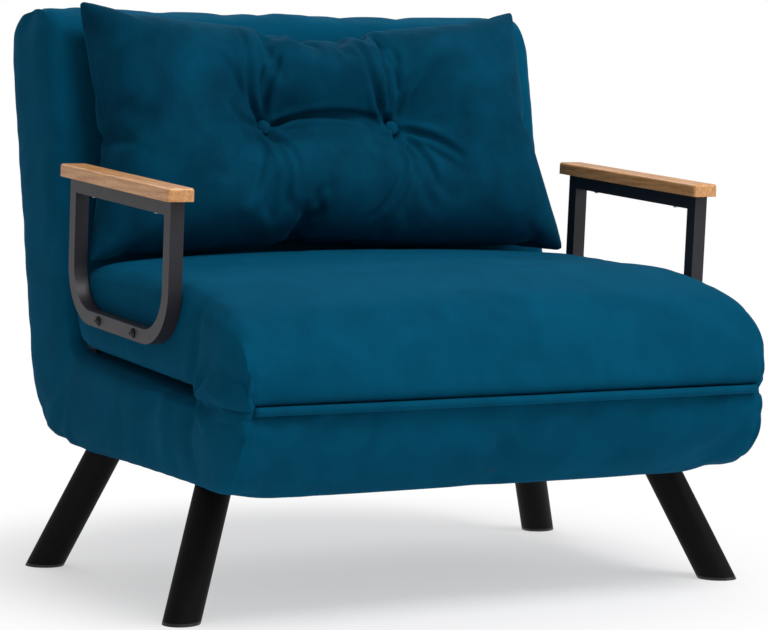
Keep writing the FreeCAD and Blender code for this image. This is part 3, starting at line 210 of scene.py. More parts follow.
def velvet(name, along, against):
    """Cut-pile velvet: soft patches where the pile was brushed, and a glow at grazing angles."""
    colours = bpy.context.scene.chair_colours
    material, shader = new_material(name)
    brushed = noise_field(material, 90, detail=3.0, distortion=0.8)
    streaks = noise_field(material, 22, detail=3.0, scale=(1.0, 1.0, 0.35))
    mixed = add(material, "ShaderNodeMath", {0: streaks, 1: 0.45}, operation="MULTIPLY")
    patches = add(material, "ShaderNodeMath", {0: brushed, 1: mixed.outputs[0]},
                  operation="ADD")
    pile = ramp(material, patches.outputs[0], [(0.40, against), (1.02, along)])
    # Pile tufts are about 0.5 mm; they are drawn at 1.2 mm so that they show.
    tufts = noise_field(material, 1.2, detail=1.0)
    join(material, shader, {
        "Base Color": pile, "Normal": relief(material, tufts, 0.15, 0.6), "Roughness": 0.9,
        "Specular IOR Level": 0.04, "Sheen Weight": 0.3, "Sheen Roughness": 0.4,
        "Sheen Tint": tuple(colours.velvet_sheen)})
    return material


def lacquered_beech(name):
    """Steamed beech under a satin lacquer: fine grain along the board, short dark flecks."""
    colours = bpy.context.scene.chair_colours
    material, shader = new_material(name)
    grain = noise_field(material, 5, detail=4.0, scale=(1.0, 0.06, 1.0), distortion=0.4)
    flecks = noise_field(material, 1.6, detail=1.0, scale=(1.0, 0.12, 1.0))
    wood = ramp(material, grain, [(0.32, tuple(colours.beech_grain)),
                                  (0.62, tuple(colours.beech))])
    dark = ramp(material, flecks, [(0.60, grey(1.0)), (0.74, grey(0.72))])
    colour = add(material, "ShaderNodeMix", {"Factor": 1.0, 6: wood, 7: dark},
                 data_type="RGBA", blend_type="MULTIPLY")
    join(material, shader, {
        "Base Color": colour.outputs[2], "Normal": relief(material, flecks, 0.15, 0.4),
        "Roughness": 0.42, "Coat Weight": 0.35, "Coat Roughness": 0.25})
    return material


def coated_steel(name, colour, roughness, grit_mm, strength, shine=0.3):
    """Powder-coated or painted steel: an even colour with a slight orange-peel skin."""
    material, shader = new_material(name)
    peel = noise_field(material, grit_mm, detail=2.0)
    wide = noise_field(material, 60, detail=2.0)
    shade = ramp(material, wide, [(0.35, dimmed(colour, 0.82)), (0.65, tuple(colour))])
    join(material, shader, {
        "Base Color": shade, "Roughness": roughness, "Specular IOR Level": shine,
        "Normal": relief(material, peel, strength, 0.2)})
    return material


def zinc_plate(name):
    """Zinc-plated steel: a pale metal with a fine cloudy bloom."""
    material, shader = new_material(name)
    bloom = noise_field(material, 2.5, detail=3.0)
    rough = ramp(material, bloom, [(0.3, grey(0.28)), (0.7, grey(0.45))])
    join(material, shader, {"Base Color": tuple(bpy.context.scene.chair_colours.zinc),
                            "Metallic": 1.0, "Roughness": rough})
    return material


def moulded_plastic(name, colour, roughness):
    """Moulded plastic with a fine spark-eroded grain."""
    material, shader = new_material(name)
    # The grain is about 0.2 mm; it is drawn at 0.8 mm so that it shows.
    grain = noise_field(material, 0.8, detail=2.0)
    join(material, shader, {"Base Color": colour, "Roughness": roughness,
                            "Normal": relief(material, grain, 0.2, 0.2)})
    return material


def birch_ply(name):
    """Bent birch plywood: pale, with long faint grain."""
    material, shader = new_material(name)
    grain = noise_field(material, 6, detail=4.0, scale=(0.05, 1.0, 1.0), distortion=0.3)
    wood = ramp(material, grain, [(0.3, linear("#c8a878")), (0.7, linear("#e2c8a0"))])
    join(material, shader, {"Base Color": wood, "Roughness": 0.55})
    return material


def open_foam(name, colour):
    """Cut polyurethane foam or loose fibre: matt, with a fine cellular surface."""
    material, shader = new_material(name)
    # The cells are about 0.7 mm; they are drawn at 1.5 mm so that they show.
    pores = noise_field(material, 1.5, detail=3.0)
    shade = ramp(material, pores, [(0.3, dimmed(colour, 0.7)), (0.6, colour)])
    join(material, shader, {"Base Color": shade, "Roughness": 0.95})
    return material


RIB_SPACING = 0.8 * MM
BANDS_PER_UNIT = 20  # a wave texture of scale 1 has this many bands in a metre


def woven_ribbon(name, colour):
    """Woven polyester ribbon: ribs across the tag."""
    material, shader = new_material(name)
    # The ribs are about 0.4 mm apart; they are drawn 0.8 mm apart so that they show.
    weave = add(material, "ShaderNodeTexWave", {
        "Vector": coordinates(material), "Scale": 1 / RIB_SPACING / BANDS_PER_UNIT,
        "Distortion": 0.2}, bands_direction="Z").outputs["Fac"]
    shade = ramp(material, weave, [(0.2, dimmed(colour, 0.75)), (0.7, colour)])
    join(material, shader, {"Base Color": shade, "Roughness": 0.6,
                            "Normal": relief(material, weave, 0.3, 0.2)})
    return material


def finish(item, material):
    """Gives a piece one material."""
    item.data.materials.clear()
    item.data.materials.append(material)


# Cloth

ARC_POINTS = 12  # points that stand for one arc


def arc(start, middle, end):
    """Points along the circle through three points, without the last."""
    a, b, c = (Vector(p) for p in (start, middle, end))
    chord, sag = c - a, b - a
    square_ab, square_ac = sag.length_squared, chord.length_squared
    scale = 2 * (sag.x * chord.y - sag.y * chord.x)
    if abs(scale) < 1e-12:
        return [a.lerp(c, n / ARC_POINTS) for n in range(ARC_POINTS)]
    centre = a + Vector((chord.y * square_ab - sag.y * square_ac,
                         sag.x * square_ac - chord.x * square_ab)) / scale
    spoke = a - centre
    swing = spoke.angle_signed(b - centre) + (b - centre).angle_signed(c - centre)
    return [centre + Matrix.Rotation(-swing * n / ARC_POINTS, 2) @ spoke
            for n in range(ARC_POINTS)]


def even_run(spots, kinds, count):
    """An outline of lines and arcs in millimetres, as evenly spaced points in metres."""
    points, here = [], 0
    for kind in kinds:
        if kind == "line":
            points.append(Vector(spots[here]))
            here += 1
        else:
            points += arc(*spots[here:here + 3])
            here += 2
    points.append(Vector(spots[here]))
    lengths = [0.0]
    for p, q in zip(points, points[1:]):
        lengths.append(lengths[-1] + (q - p).length)
    run, at = [], 0
    for n in range(count + 1):
        target = lengths[-1] * n / count
        while at < len(lengths) - 2 and lengths[at + 1] < target:
            at += 1
        part = (target - lengths[at]) / (lengths[at + 1] - lengths[at])
        run.append(points[at].lerp(points[at + 1], min(1.0, part)) * MM)
    return run


def edges_across(bm, half):
    """The edges that run from one side of a piece to the other."""
    return [e for e in bm.edges if abs(e.verts[0].co.x - e.verts[1].co.x) > half]


END_RUNGS = 6  # the crown fades out over this many rungs at each end


def mattress_mesh(inner, outer, half, crown, draw, rows=7):
    """A closed padded section: two side panels and the cloth that wraps round them.

    The runs share their ends. The inner one is crowned across the width, and the side
    panels draw in between their seams. Seam loops carry the vertex layer "seam".
    """
    step = bpy.context.scene.chair_sizes.mesh_step
    bm = bmesh.new()
    inside, lift_y, lift_z = (bm.verts.layers.float.new(name)
                              for name in ("inside", "lift_y", "lift_z"))
    ring = [bm.verts.new((-half, p.x, p.y)) for p in inner + outer[-2:0:-1]]
    bm.faces.new(ring)
    count = len(inner) - 1
    rungs = []
    for n in range(1, count):
        pair = [ring[n], ring[-n]]
        fade = min(1.0, n / END_RUNGS, (count - n) / END_RUNGS)
        way = (inner[n] - outer[n]).normalized() * fade
        for vertex, share in zip(pair, (1.0, 0.0)):
            vertex[inside], vertex[lift_y], vertex[lift_z] = share, way.x, way.y
        rungs += bmesh.ops.connect_verts(bm, verts=pair)["edges"]
    ring[0][inside] = ring[count][inside] = 0.5
    bmesh.ops.subdivide_edges(bm, edges=rungs, cuts=rows, use_grid_fill=True)
    made = bmesh.ops.extrude_face_region(bm, geom=bm.faces[:])["geom"]
    moved = [v for v in made if isinstance(v, bmesh.types.BMVert)]
    bmesh.ops.translate(bm, verts=moved, vec=(2 * half, 0, 0))
    bmesh.ops.subdivide_edges(bm, edges=edges_across(bm, half), cuts=round(2 * half / step) - 1,
                              use_grid_fill=True)
    bmesh.ops.recalc_face_normals(bm, faces=bm.faces[:])
    seam = bm.verts.layers.float.new("seam")
    for edge in bm.edges:
        if len(edge.link_faces) != 2:
            raise RuntimeError("the mattress section isn't closed")
        sides = [abs(face.normal.x) > 0.9 for face in edge.link_faces]
        if sides[0] != sides[1]:
            for vertex in edge.verts:
                vertex[seam] = 1.0
    for vertex in bm.verts:
        part = vertex.co.x / half
        share = vertex[inside]
        way = Vector((0, vertex[lift_y], vertex[lift_z]))
        vertex.co += way * crown * (1 - part * part) * share
        if abs(part) > 0.999:
            vertex.co.x -= math.copysign(draw * math.sin(math.pi * share), part)
    for name in ("inside", "lift_y", "lift_z"):
        bm.verts.layers.float.remove(bm.verts.layers.float[name])
    return bm


def as_object(name, bm, place=Matrix.Identity(4)):
    """Makes a bmesh an object at the origin, with its place in its mesh."""
    mesh = bpy.data.meshes.new(name)
    bm.transform(place)
    bm.to_mesh(mesh)
    bm.free()
    for polygon in mesh.polygons:
        polygon.use_smooth = True
    item = bpy.data.objects.new(name, mesh)
    bpy.context.scene.collection.objects.link(item)
    return item


def pin_group(item, weights):
    """A vertex group that holds the cloth by the given weights."""
    group = item.vertex_groups.new(name="held")
    for index, weight in enumerate(weights):
        if weight > 0:
            group.add([index], weight, "REPLACE")
    return group.name


def swell(item, pressure, slack, held, cap, frames=None, stiffness=15.0):
    """Fills a cloth form with air, holds what is held and caps how far it moves."""
    before = [v.co.copy() for v in item.data.vertices]
    modifier = item.modifiers.new("Cloth", "CLOTH")
    cloth = modifier.settings
    cloth.quality = 5
    cloth.mass = 0.3
    cloth.tension_stiffness = stiffness
    cloth.compression_stiffness = stiffness
    cloth.shear_stiffness = stiffness / 3
    cloth.bending_stiffness = 0.4
    cloth.tension_damping = cloth.compression_damping = 8.0
    cloth.air_damping = 3.0
    cloth.use_pressure = True
    cloth.uniform_pressure_force = pressure
    cloth.shrink_min = -slack
    cloth.effector_weights.gravity = 0.0
    cloth.vertex_group_mass = pin_group(item, held)
    cloth.pin_stiffness = 1.0
    modifier.collision_settings.use_collision = False
    steps = frames or bpy.context.scene.chair_sizes.swell_frames
    modifier.point_cache.frame_end = steps + 1
    for step in range(1, steps + 1):
        bpy.context.scene.frame_set(step)
    graph = bpy.context.evaluated_depsgraph_get()
    shaped = item.evaluated_get(graph).to_mesh()
    after = [v.co.copy() for v in shaped.vertices]
    item.evaluated_get(graph).to_mesh_clear()
    item.modifiers.clear()
    item.vertex_groups.clear()
    bpy.context.scene.frame_set(1)
    for vertex, start, end in zip(item.data.vertices, before, after):
        move = end - start
        if move.length > cap:
            move = move.normalized() * cap
        vertex.co = start + move
    item.data.update()


def subdivided(item, levels):
    """Smooths the piece and applies it to its mesh."""
    modifier = item.modifiers.new("Subdivision", "SUBSURF")
    modifier.levels = modifier.render_levels = levels
    graph = bpy.context.evaluated_depsgraph_get()
    mesh = bpy.data.meshes.new_from_object(item.evaluated_get(graph))
    item.modifiers.clear()
    item.data = mesh
    for polygon in mesh.polygons:
        polygon.use_smooth = True


def sew(item):
    """Pulls the cloth in along its seams, where the layer "seam" is near one."""
    depth = bpy.context.scene.chair_sizes.seam_depth
    values = item.data.attributes["seam"].data
    normals = [v.normal.copy() for v in item.data.vertices]
    for vertex, value, normal in zip(item.data.vertices, values, normals):
        vertex.co -= normal * depth * max(0.0, value.value) ** 3
    item.data.update()


def seam_held(item):
    """Weights that hold the seams of a section and leave the rest free."""
    return [1.0 if value.value > 0.5 else 0.0 for value in item.data.attributes["seam"].data]


def ripple(item, spots, place):
    """Soft folds: each spot is a line in the section's frame, a width and a depth."""
    back = place.inverted()
    normals = [v.normal.copy() for v in item.data.vertices]
    for vertex, normal in zip(item.data.vertices, normals):
        here = back @ vertex.co
        total = 0.0
        for start, end, width, depth in spots:
            a, b = Vector(start), Vector(end)
            run = b - a
            part = max(0.0, min(1.0, (here - a).dot(run) / run.length_squared))
            away = (here - (a + run * part)).length / width
            # A fold is deepest in its middle and fades towards its ends.
            fade = math.sin(math.pi * (0.12 + 0.76 * part))
            total += depth * fade * math.exp(-away * away)
        vertex.co += normal * total
    item.data.update()


# Pieces

class ChairPiece:
    """What all the operators share"""
    bl_options = {"REGISTER", "UNDO"}

    @property
    def sizes(self):
        return bpy.context.scene.chair_sizes

    @property
    def colours(self):
        return bpy.context.scene.chair_colours


VELVET = "petrol velvet"
# The pillow's velvet is the same cloth in darker colours: painted shade for its upright face.
PILLOW_VELVET = "petrol velvet, painted pillow shade"
FACES_SECTION = 0.75  # how squarely a face looks at the section that it lies on
REST_HOLD = 0.85  # how firmly the cloth is held where it lies on another section


def mattress(name, nodes, bm, place, rests, folds, cap=9 * MM):
    """Fills and sews one padded section. rests tells if a spot lies on another piece."""
    item = as_object(name, bm, place)
    inwards = place.inverted()
    turn = inwards.to_3x3()
    held = [max(pin, REST_HOLD if rests(inwards @ v.co, turn @ v.normal) else 0.0)
            for pin, v in zip(seam_held(item), item.data.vertices)]
    swell(item, pressure=3.0, slack=0.012, held=held, cap=cap)
    subdivided(item, 1)
    ripple(item, folds, place)
    sew(item)
    finish(item, bpy.data.materials[VELVET])
    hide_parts(*nodes)
    return item


def both_sides(lines):
    """The folds of one side panel and their mirror images."""
    return lines + [((-a[0], *a[1:]), (-b[0], *b[1:]), width, depth)
                    for a, b, width, depth in lines]


class CHAIR_OT_materials(ChairPiece, bpy.types.Operator):
    """Makes the velvet that all the upholstery shares, and a darker copy of it as painted shade for the
    pillow
    """
    bl_idname = "chair.materials"
    bl_label = "Velvet"

    def execute(self, context):
        deep = tuple(self.colours.velvet_deep)
        velvet(VELVET, tuple(self.colours.velvet), deep)
        # The pillow's copy is darker overall: painted shade for its upright face, not a different cloth.
        velvet(PILLOW_VELVET, deep, tuple(self.colours.velvet_pillow_shade))
        return {"FINISHED"}


# Folds as start, end, width and depth, in metres, on the sitter's left side.
SEAT_FOLDS = [
    ((0.4, 0.075, 0.015), (0.4, 0.070, 0.095), 0.055, 0.008),
    ((0.4, 0.160, 0.000), (0.4, 0.142, 0.110), 0.012, -0.007),
    ((0.4, 0.120, 0.000), (0.4, 0.085, 0.060), 0.010, -0.004),
]
ARM_FRONT = 0.185  # the arm frames start just behind this, from the front axis
BESIDE_ARM = 4 * MM
AHEAD_OF_ARM = 12 * MM


class CHAIR_OT_seat(ChairPiece, bpy.types.Operator):
    """Pads the seat section: a rounded nose, a gently crowned top and a round rear end"""
    bl_idname = "chair.seat"
    bl_label = "Seat section"

    def execute(self, context):
        top = ([(-1, 45), (12, 79), (60.5, 109), (140.5, 126), (311, 129), (424, 126),
                (507, 122), (550, 104), (566, 64)], ("arc", "arc", "arc", "arc"))
        underside = ([(-1, 45), (-4, 22), (1, 6.5), (9, 4), (16, 6), (533, 7), (557, 29),
                      (566, 64)], ("arc", "line", "line", "line", "arc"))
        bm = mattress_mesh(even_run(*top, 46), even_run(*underside, 46), HALF_WIDTH,
                           crown=SEAT_CROWN, draw=5 * MM)
        item = mattress("seat_section_upholstery",
                        ["seat_foam", "seat_underside_pad", "seat_cover"], bm, SEAT_PLACE,
                        self.rests, both_sides(SEAT_FOLDS))
        inwards = SEAT_PLACE.inverted()
        for vertex in item.data.vertices:
            # The arms stand 5 mm from the sides; ahead of them the cloth may stand out more.
            beside = (inwards @ vertex.co).y > ARM_FRONT
            limit = HALF_WIDTH + (BESIDE_ARM if beside else AHEAD_OF_ARM)
            vertex.co.x = max(-limit, min(limit, vertex.co.x))
        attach(item, "seat_section")
        return {"FINISHED"}

    def rests(self, spot, normal):
        """The underside lies on the base, and the lip is sewn to the welt."""
        return normal.z < -FACES_SECTION or spot.y < 0.02 > spot.z


def on_back(d, s):
    """A spot of the backrest's side panel, in the base's side plane, in millimetres."""
    spot = BASE_PLACE.inverted() @ BACK_PLACE @ Vector((0, d * MM, s * MM))
    return (spot.y / MM, spot.z / MM)


class CHAIR_OT_front_corners(ChairPiece, bpy.types.Operator):
    """The cover's gussets, bunched where the seat folds onto the base"""
    bl_idname = "chair.front_corners"
    bl_label = "Front corner gussets"

    def execute(self, context):
        for name, side in (("left", 1), ("right", -1)):
            # The gusset opens along the fold, so its halves go with the two sections.
            self.gusset(f"base_corner_gusset_{name}", "base", side, True)
            self.gusset(f"seat_corner_gusset_{name}", "seat_section", side, False)
        return {"FINISHED"}

    def gusset(self, name, body, side, below):
        """Half of a domed gusset, with creases that run out from where it is pinched."""
        swelling, reach, rise = 0.020, 0.078, 0.082
        middle_height = 0.293
        pinch, crease_length, calm = Vector((0.150, 0.298)), 0.15, 0.03
        crease_depth, crease_pitch = 0.42, 7.5
        bm = bmesh.new()
        bmesh.ops.create_uvsphere(bm, u_segments=48, v_segments=40, radius=1)
        bmesh.ops.rotate(bm, verts=bm.verts[:],
                         matrix=Matrix.Rotation(math.radians(90), 3, "Y"))
        bmesh.ops.scale(bm, verts=bm.verts[:], vec=(swelling, reach, rise))
        for vertex in bm.verts:
            # The gusset tapers up and down from its middle, a little unevenly.
            level = vertex.co.z / rise
            vertex.co.y *= 1 - 0.25 * level * level + 0.08 * math.sin(5 * level)
            spot = Vector((reach + vertex.co.y, middle_height + vertex.co.z))
            ray = spot - pinch
            angle = math.atan2(ray.y, -ray.x)
            wander = 1.5 * noise.noise(Vector((spot.x * 30, spot.y * 30, side)))
            deep = min(1.0, ray.length / calm) * max(0.0, 1 - ray.length / crease_length)
            out = max(0.0, vertex.co.x * side)
            wave = math.sin(crease_pitch * angle + wander)
            vertex.co.x += side * crease_depth * out * wave * deep
            vertex.co = Vector((side * (HALF_WIDTH - 4.5 * MM) + vertex.co.x, *spot))
        slope = SEAT_TILT / 2
        bmesh.ops.bisect_plane(bm, geom=bm.verts[:] + bm.edges[:] + bm.faces[:],
                               plane_co=(0, 0, FRONT_AXIS.z),
                               plane_no=(0, -math.sin(slope), math.cos(slope)),
                               clear_outer=below, clear_inner=not below)
        bmesh.ops.holes_fill(bm, edges=[e for e in bm.edges if e.is_boundary], sides=0)
        for vertex in bm.verts:
            # Both halves roll in towards the fold, as a crease does.
            away = (vertex.co.z - FRONT_AXIS.z) / (7 * MM)
            vertex.co.x -= side * 5 * MM * math.exp(-away * away)
        bmesh.ops.recalc_face_normals(bm, faces=bm.faces[:])
        item = as_object(name, bm, BASE_PLACE)
        finish(item, bpy.data.materials[VELVET])
        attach(item, body)


# Folds of the base's side panels: metres behind the front axis, lean in metres, depth in mm.
SIDE_FOLDS = ((0.225, 0.02, 3.0), (0.262, 0.01, -3.0), (0.318, -0.015, 2.5),
              (0.365, 0.02, -3.0), (0.412, 0.015, 3.0), (0.470, -0.01, -2.5))
# Folds that fan out of the rear corner: angle in degrees and depth in mm.
CORNER_FOLDS = ((-75, 4.5), (-58, -3.5), (-42, 4.0), (-25, -4.0), (-8, 3.0))
CORNER = Vector((0.402, 0.560, 0.285))


class CHAIR_OT_lower_mattress(ChairPiece, bpy.types.Operator):
    """Pads the base and the backrest as the one folded mattress they are"""
    bl_idname = "chair.lower_mattress"
    bl_label = "Base and backrest"

    def execute(self, context):
        inner = even_run([(4, 258), (2, 272), (4, 285), (9, 289), (16, 290.5), (38, 290),
                          (282, 298), (540, 312)], ("arc", "arc", "arc"), 42)
        inner += even_run([(540, 312), (556, 318), on_back(2, 40)], ("arc",), 6)[1:]
        inner += even_run([on_back(2, 40), on_back(-1, 240), on_back(1, 452),
                           on_back(16, 491), on_back(52, 507), on_back(82, 508)],
                          ("arc", "arc", "line"), 40)[1:]
        outer = even_run([(4, 258), (18, 215), (40, 189), (62, 182), (114, 180.5),
                          (540, 183)], ("arc", "arc", "line"), 42)
        outer += even_run([(540, 183), (618, 189), on_back(152, -84), on_back(169, -38),
                           on_back(171, 40)], ("line", "arc", "line"), 14)[1:]
        outer += even_run([on_back(171, 40), on_back(171, 250), on_back(170, 455),
                           on_back(156, 493), on_back(112, 508), on_back(82, 508)],
                          ("arc", "arc", "line"), 32)[1:]
        bm = mattress_mesh(inner, outer, HALF_WIDTH + 2 * MM, crown=BACK_CROWN,
                           draw=4 * MM, rows=8)
        item = mattress("lower_mattress_upholstery",
                        ["base_foam", "base_cover", "rear_fold", "back_foam", "back_cover"],
                        bm, BASE_PLACE, self.rests, self.corner_folds() + self.side_folds(),
                        cap=13 * MM)
        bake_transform(item, "base", "backrest", start=BASE_PLACE @ Vector((0, 0.560, 0.230)),
                 end=BACK_PLACE @ Vector((0, 0.120, 0.080)))
        return {"FINISHED"}

    def rests(self, spot, normal):
        """The base's top and the front of the backrest lie on the other sections."""
        turn = BACK_PLACE.inverted() @ BASE_PLACE
        if (turn @ spot).z > 0.04:
            return (turn.to_3x3() @ normal).y < -FACES_SECTION
        return normal.z > FACES_SECTION

    def corner_folds(self):
        """The cover bunches where the base turns up into the backrest."""
        lines = []
        for angle, depth in CORNER_FOLDS:
            way = Vector((0, math.cos(math.radians(angle)), math.sin(math.radians(angle))))
            lines.append((tuple(CORNER + way * 0.04), tuple(CORNER + way * 0.15), 0.010,
                          depth * MM))
        return both_sides(lines)

    def side_folds(self):
        """Slack of the side panels, and the bulge of their front corners."""
        side = CORNER.x
        lines = [((side, 0.070, 0.215), (side, 0.070, 0.285), 0.055, 0.008),
                 ((side, 0.140, 0.200), (side, 0.160, 0.300), 0.012, -0.006)]
        for y, lean, depth in SIDE_FOLDS:
            lines.append(((side, y, 0.195), (side, y + lean, 0.290), 0.013, depth * MM))
        return both_sides(lines)


class CHAIR_OT_welt(ChairPiece, bpy.types.Operator):
    """Piping along the front fold, over the hinge knuckles"""
    bl_idname = "chair.welt"
    bl_label = "Front welt"

    def execute(self, context):
        radius = self.sizes.welt_radius
        half = HALF_WIDTH - 12 * MM  # the piping stops short of the side panels
        bm = bmesh.new()
        bmesh.ops.create_circle(bm, cap_ends=True, segments=20, radius=radius,
                                matrix=Matrix.Rotation(math.radians(90), 4, "Y"))
        bmesh.ops.translate(bm, verts=bm.verts[:], vec=(-half, 0, 0))
        made = bmesh.ops.extrude_face_region(bm, geom=bm.faces[:])["geom"]
        bmesh.ops.translate(bm, verts=[v for v in made if isinstance(v, bmesh.types.BMVert)],
                            vec=(2 * half, 0, 0))
        bmesh.ops.subdivide_edges(bm, edges=edges_across(bm, half), cuts=110)
        for vertex in bm.verts:
            # The cord under the cloth is a little uneven along its length.
            wave = noise.noise(Vector((vertex.co.x * 14, 0.3, 0.7)))
            vertex.co.y *= 1 + 0.10 * wave
            vertex.co.z += 0.0009 * noise.noise(Vector((vertex.co.x * 6, 4.1, 0.2)))
        bmesh.ops.recalc_face_normals(bm, faces=bm.faces[:])
        item = as_object("front_welt_piping", bm, Matrix.Translation(FRONT_AXIS))
        finish(item, bpy.data.materials[VELVET])
        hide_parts("front_welt")
        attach(item, "base")
        return {"FINISHED"}


# The pillow's own frame: X across, Y up the pillow, Z out of its front.
BUTTON_SPOTS = (-0.1075, 0.1075)
BUTTON_HEIGHT = 0.010
BUTTON_REACH = 0.010  # cloth this near to a button is held down by it
BUTTON_STAND, BUTTON_DOME = 0.006, 0.45  # how far a button stands out, and how domed it is
FRONT_DIMPLE, REAR_DIMPLE = 0.024, -0.016
PILLOW_STEP = 0.009
PILLOW_FOOT = Vector((0.0, 0.498, 0.446))
PILLOW_TOP = Vector((0.0, 0.621, 0.822))
FOOT_MIDDLE, TOP_MIDDLE = -0.017, -0.012  # the pillow lies a little off the chair's middle
FOOT_WIDTH, TOP_WIDTH = 0.790, 0.776
BACK_GAP = 0.004  # between the backrest's front and the pillow
SEAT_TOP = 0.1335  # of the seat's side edge above the front axis, where the pillow stands
ROUND_EDGE, EDGE_THICKNESS = 0.06, 0.030  # the pillow's form before it is filled


def pillow_sheets(width, height, step):
    """Two cloth panels sewn together at their edges, lying flat."""
    bm = bmesh.new()
    across, up = round(width / step), round(height / step)
    seam, flat_x, flat_y, front = (bm.verts.layers.float.new(name)
                                   for name in ("seam", "flat_x", "flat_y", "front"))
    bmesh.ops.create_grid(bm, x_segments=across, y_segments=up, size=0.5)
    bmesh.ops.scale(bm, vec=(width, height, 1), verts=bm.verts[:])
    bmesh.ops.duplicate(bm, geom=bm.faces[:])
    border = [v for v in bm.verts if v.is_boundary]
    for vertex in border:
        vertex[seam] = 1.0
    bm.faces.ensure_lookup_table()
    half = len(bm.faces) // 2
    rear = set(v for face in bm.faces[half:] for v in face.verts)
    for vertex in bm.verts:
        side = -1 if vertex in rear else 1
        vertex[flat_x], vertex[flat_y], vertex[front] = vertex.co.x, vertex.co.y, side
        edge = min(width / 2 - abs(vertex.co.x), height / 2 - abs(vertex.co.y))
        swollen = EDGE_THICKNESS * min(1.0, edge / ROUND_EDGE) ** 0.7 if edge > 1e-5 else 0
        vertex.co.z = side * swollen
    bmesh.ops.reverse_faces(bm, faces=bm.faces[half:])
    bmesh.ops.remove_doubles(bm, verts=border, dist=1e-5)
    bmesh.ops.recalc_face_normals(bm, faces=bm.faces[:])
    return bm


# Creases from each button, as the way and length on the flat cloth, and a depth in mm.
CREASES = (
    ((-0.052, 0.165), 9), ((0.030, 0.140), 8), ((0.024, -0.105), 8),
    ((-0.014, -0.180), 7), ((0.188, 0.016), 7), ((0.188, -0.006), 6),
    ((-0.090, 0.030), 3),
), (
    ((-0.052, 0.155), 10), ((0.008, 0.180), 9), ((0.060, 0.090), 7),
    ((0.100, -0.073), 10), ((0.044, -0.107), 9), ((-0.008, -0.141), 9),
    ((-0.066, -0.175), 7),
)
CREASE_WIDTH = 0.0056
CREASE_BOW = 0.10  # how far a crease bends sideways, as a share of its length
DEEPEST, HIGHEST = -0.011, 0.005  # limits of the cloth's move where creases add up


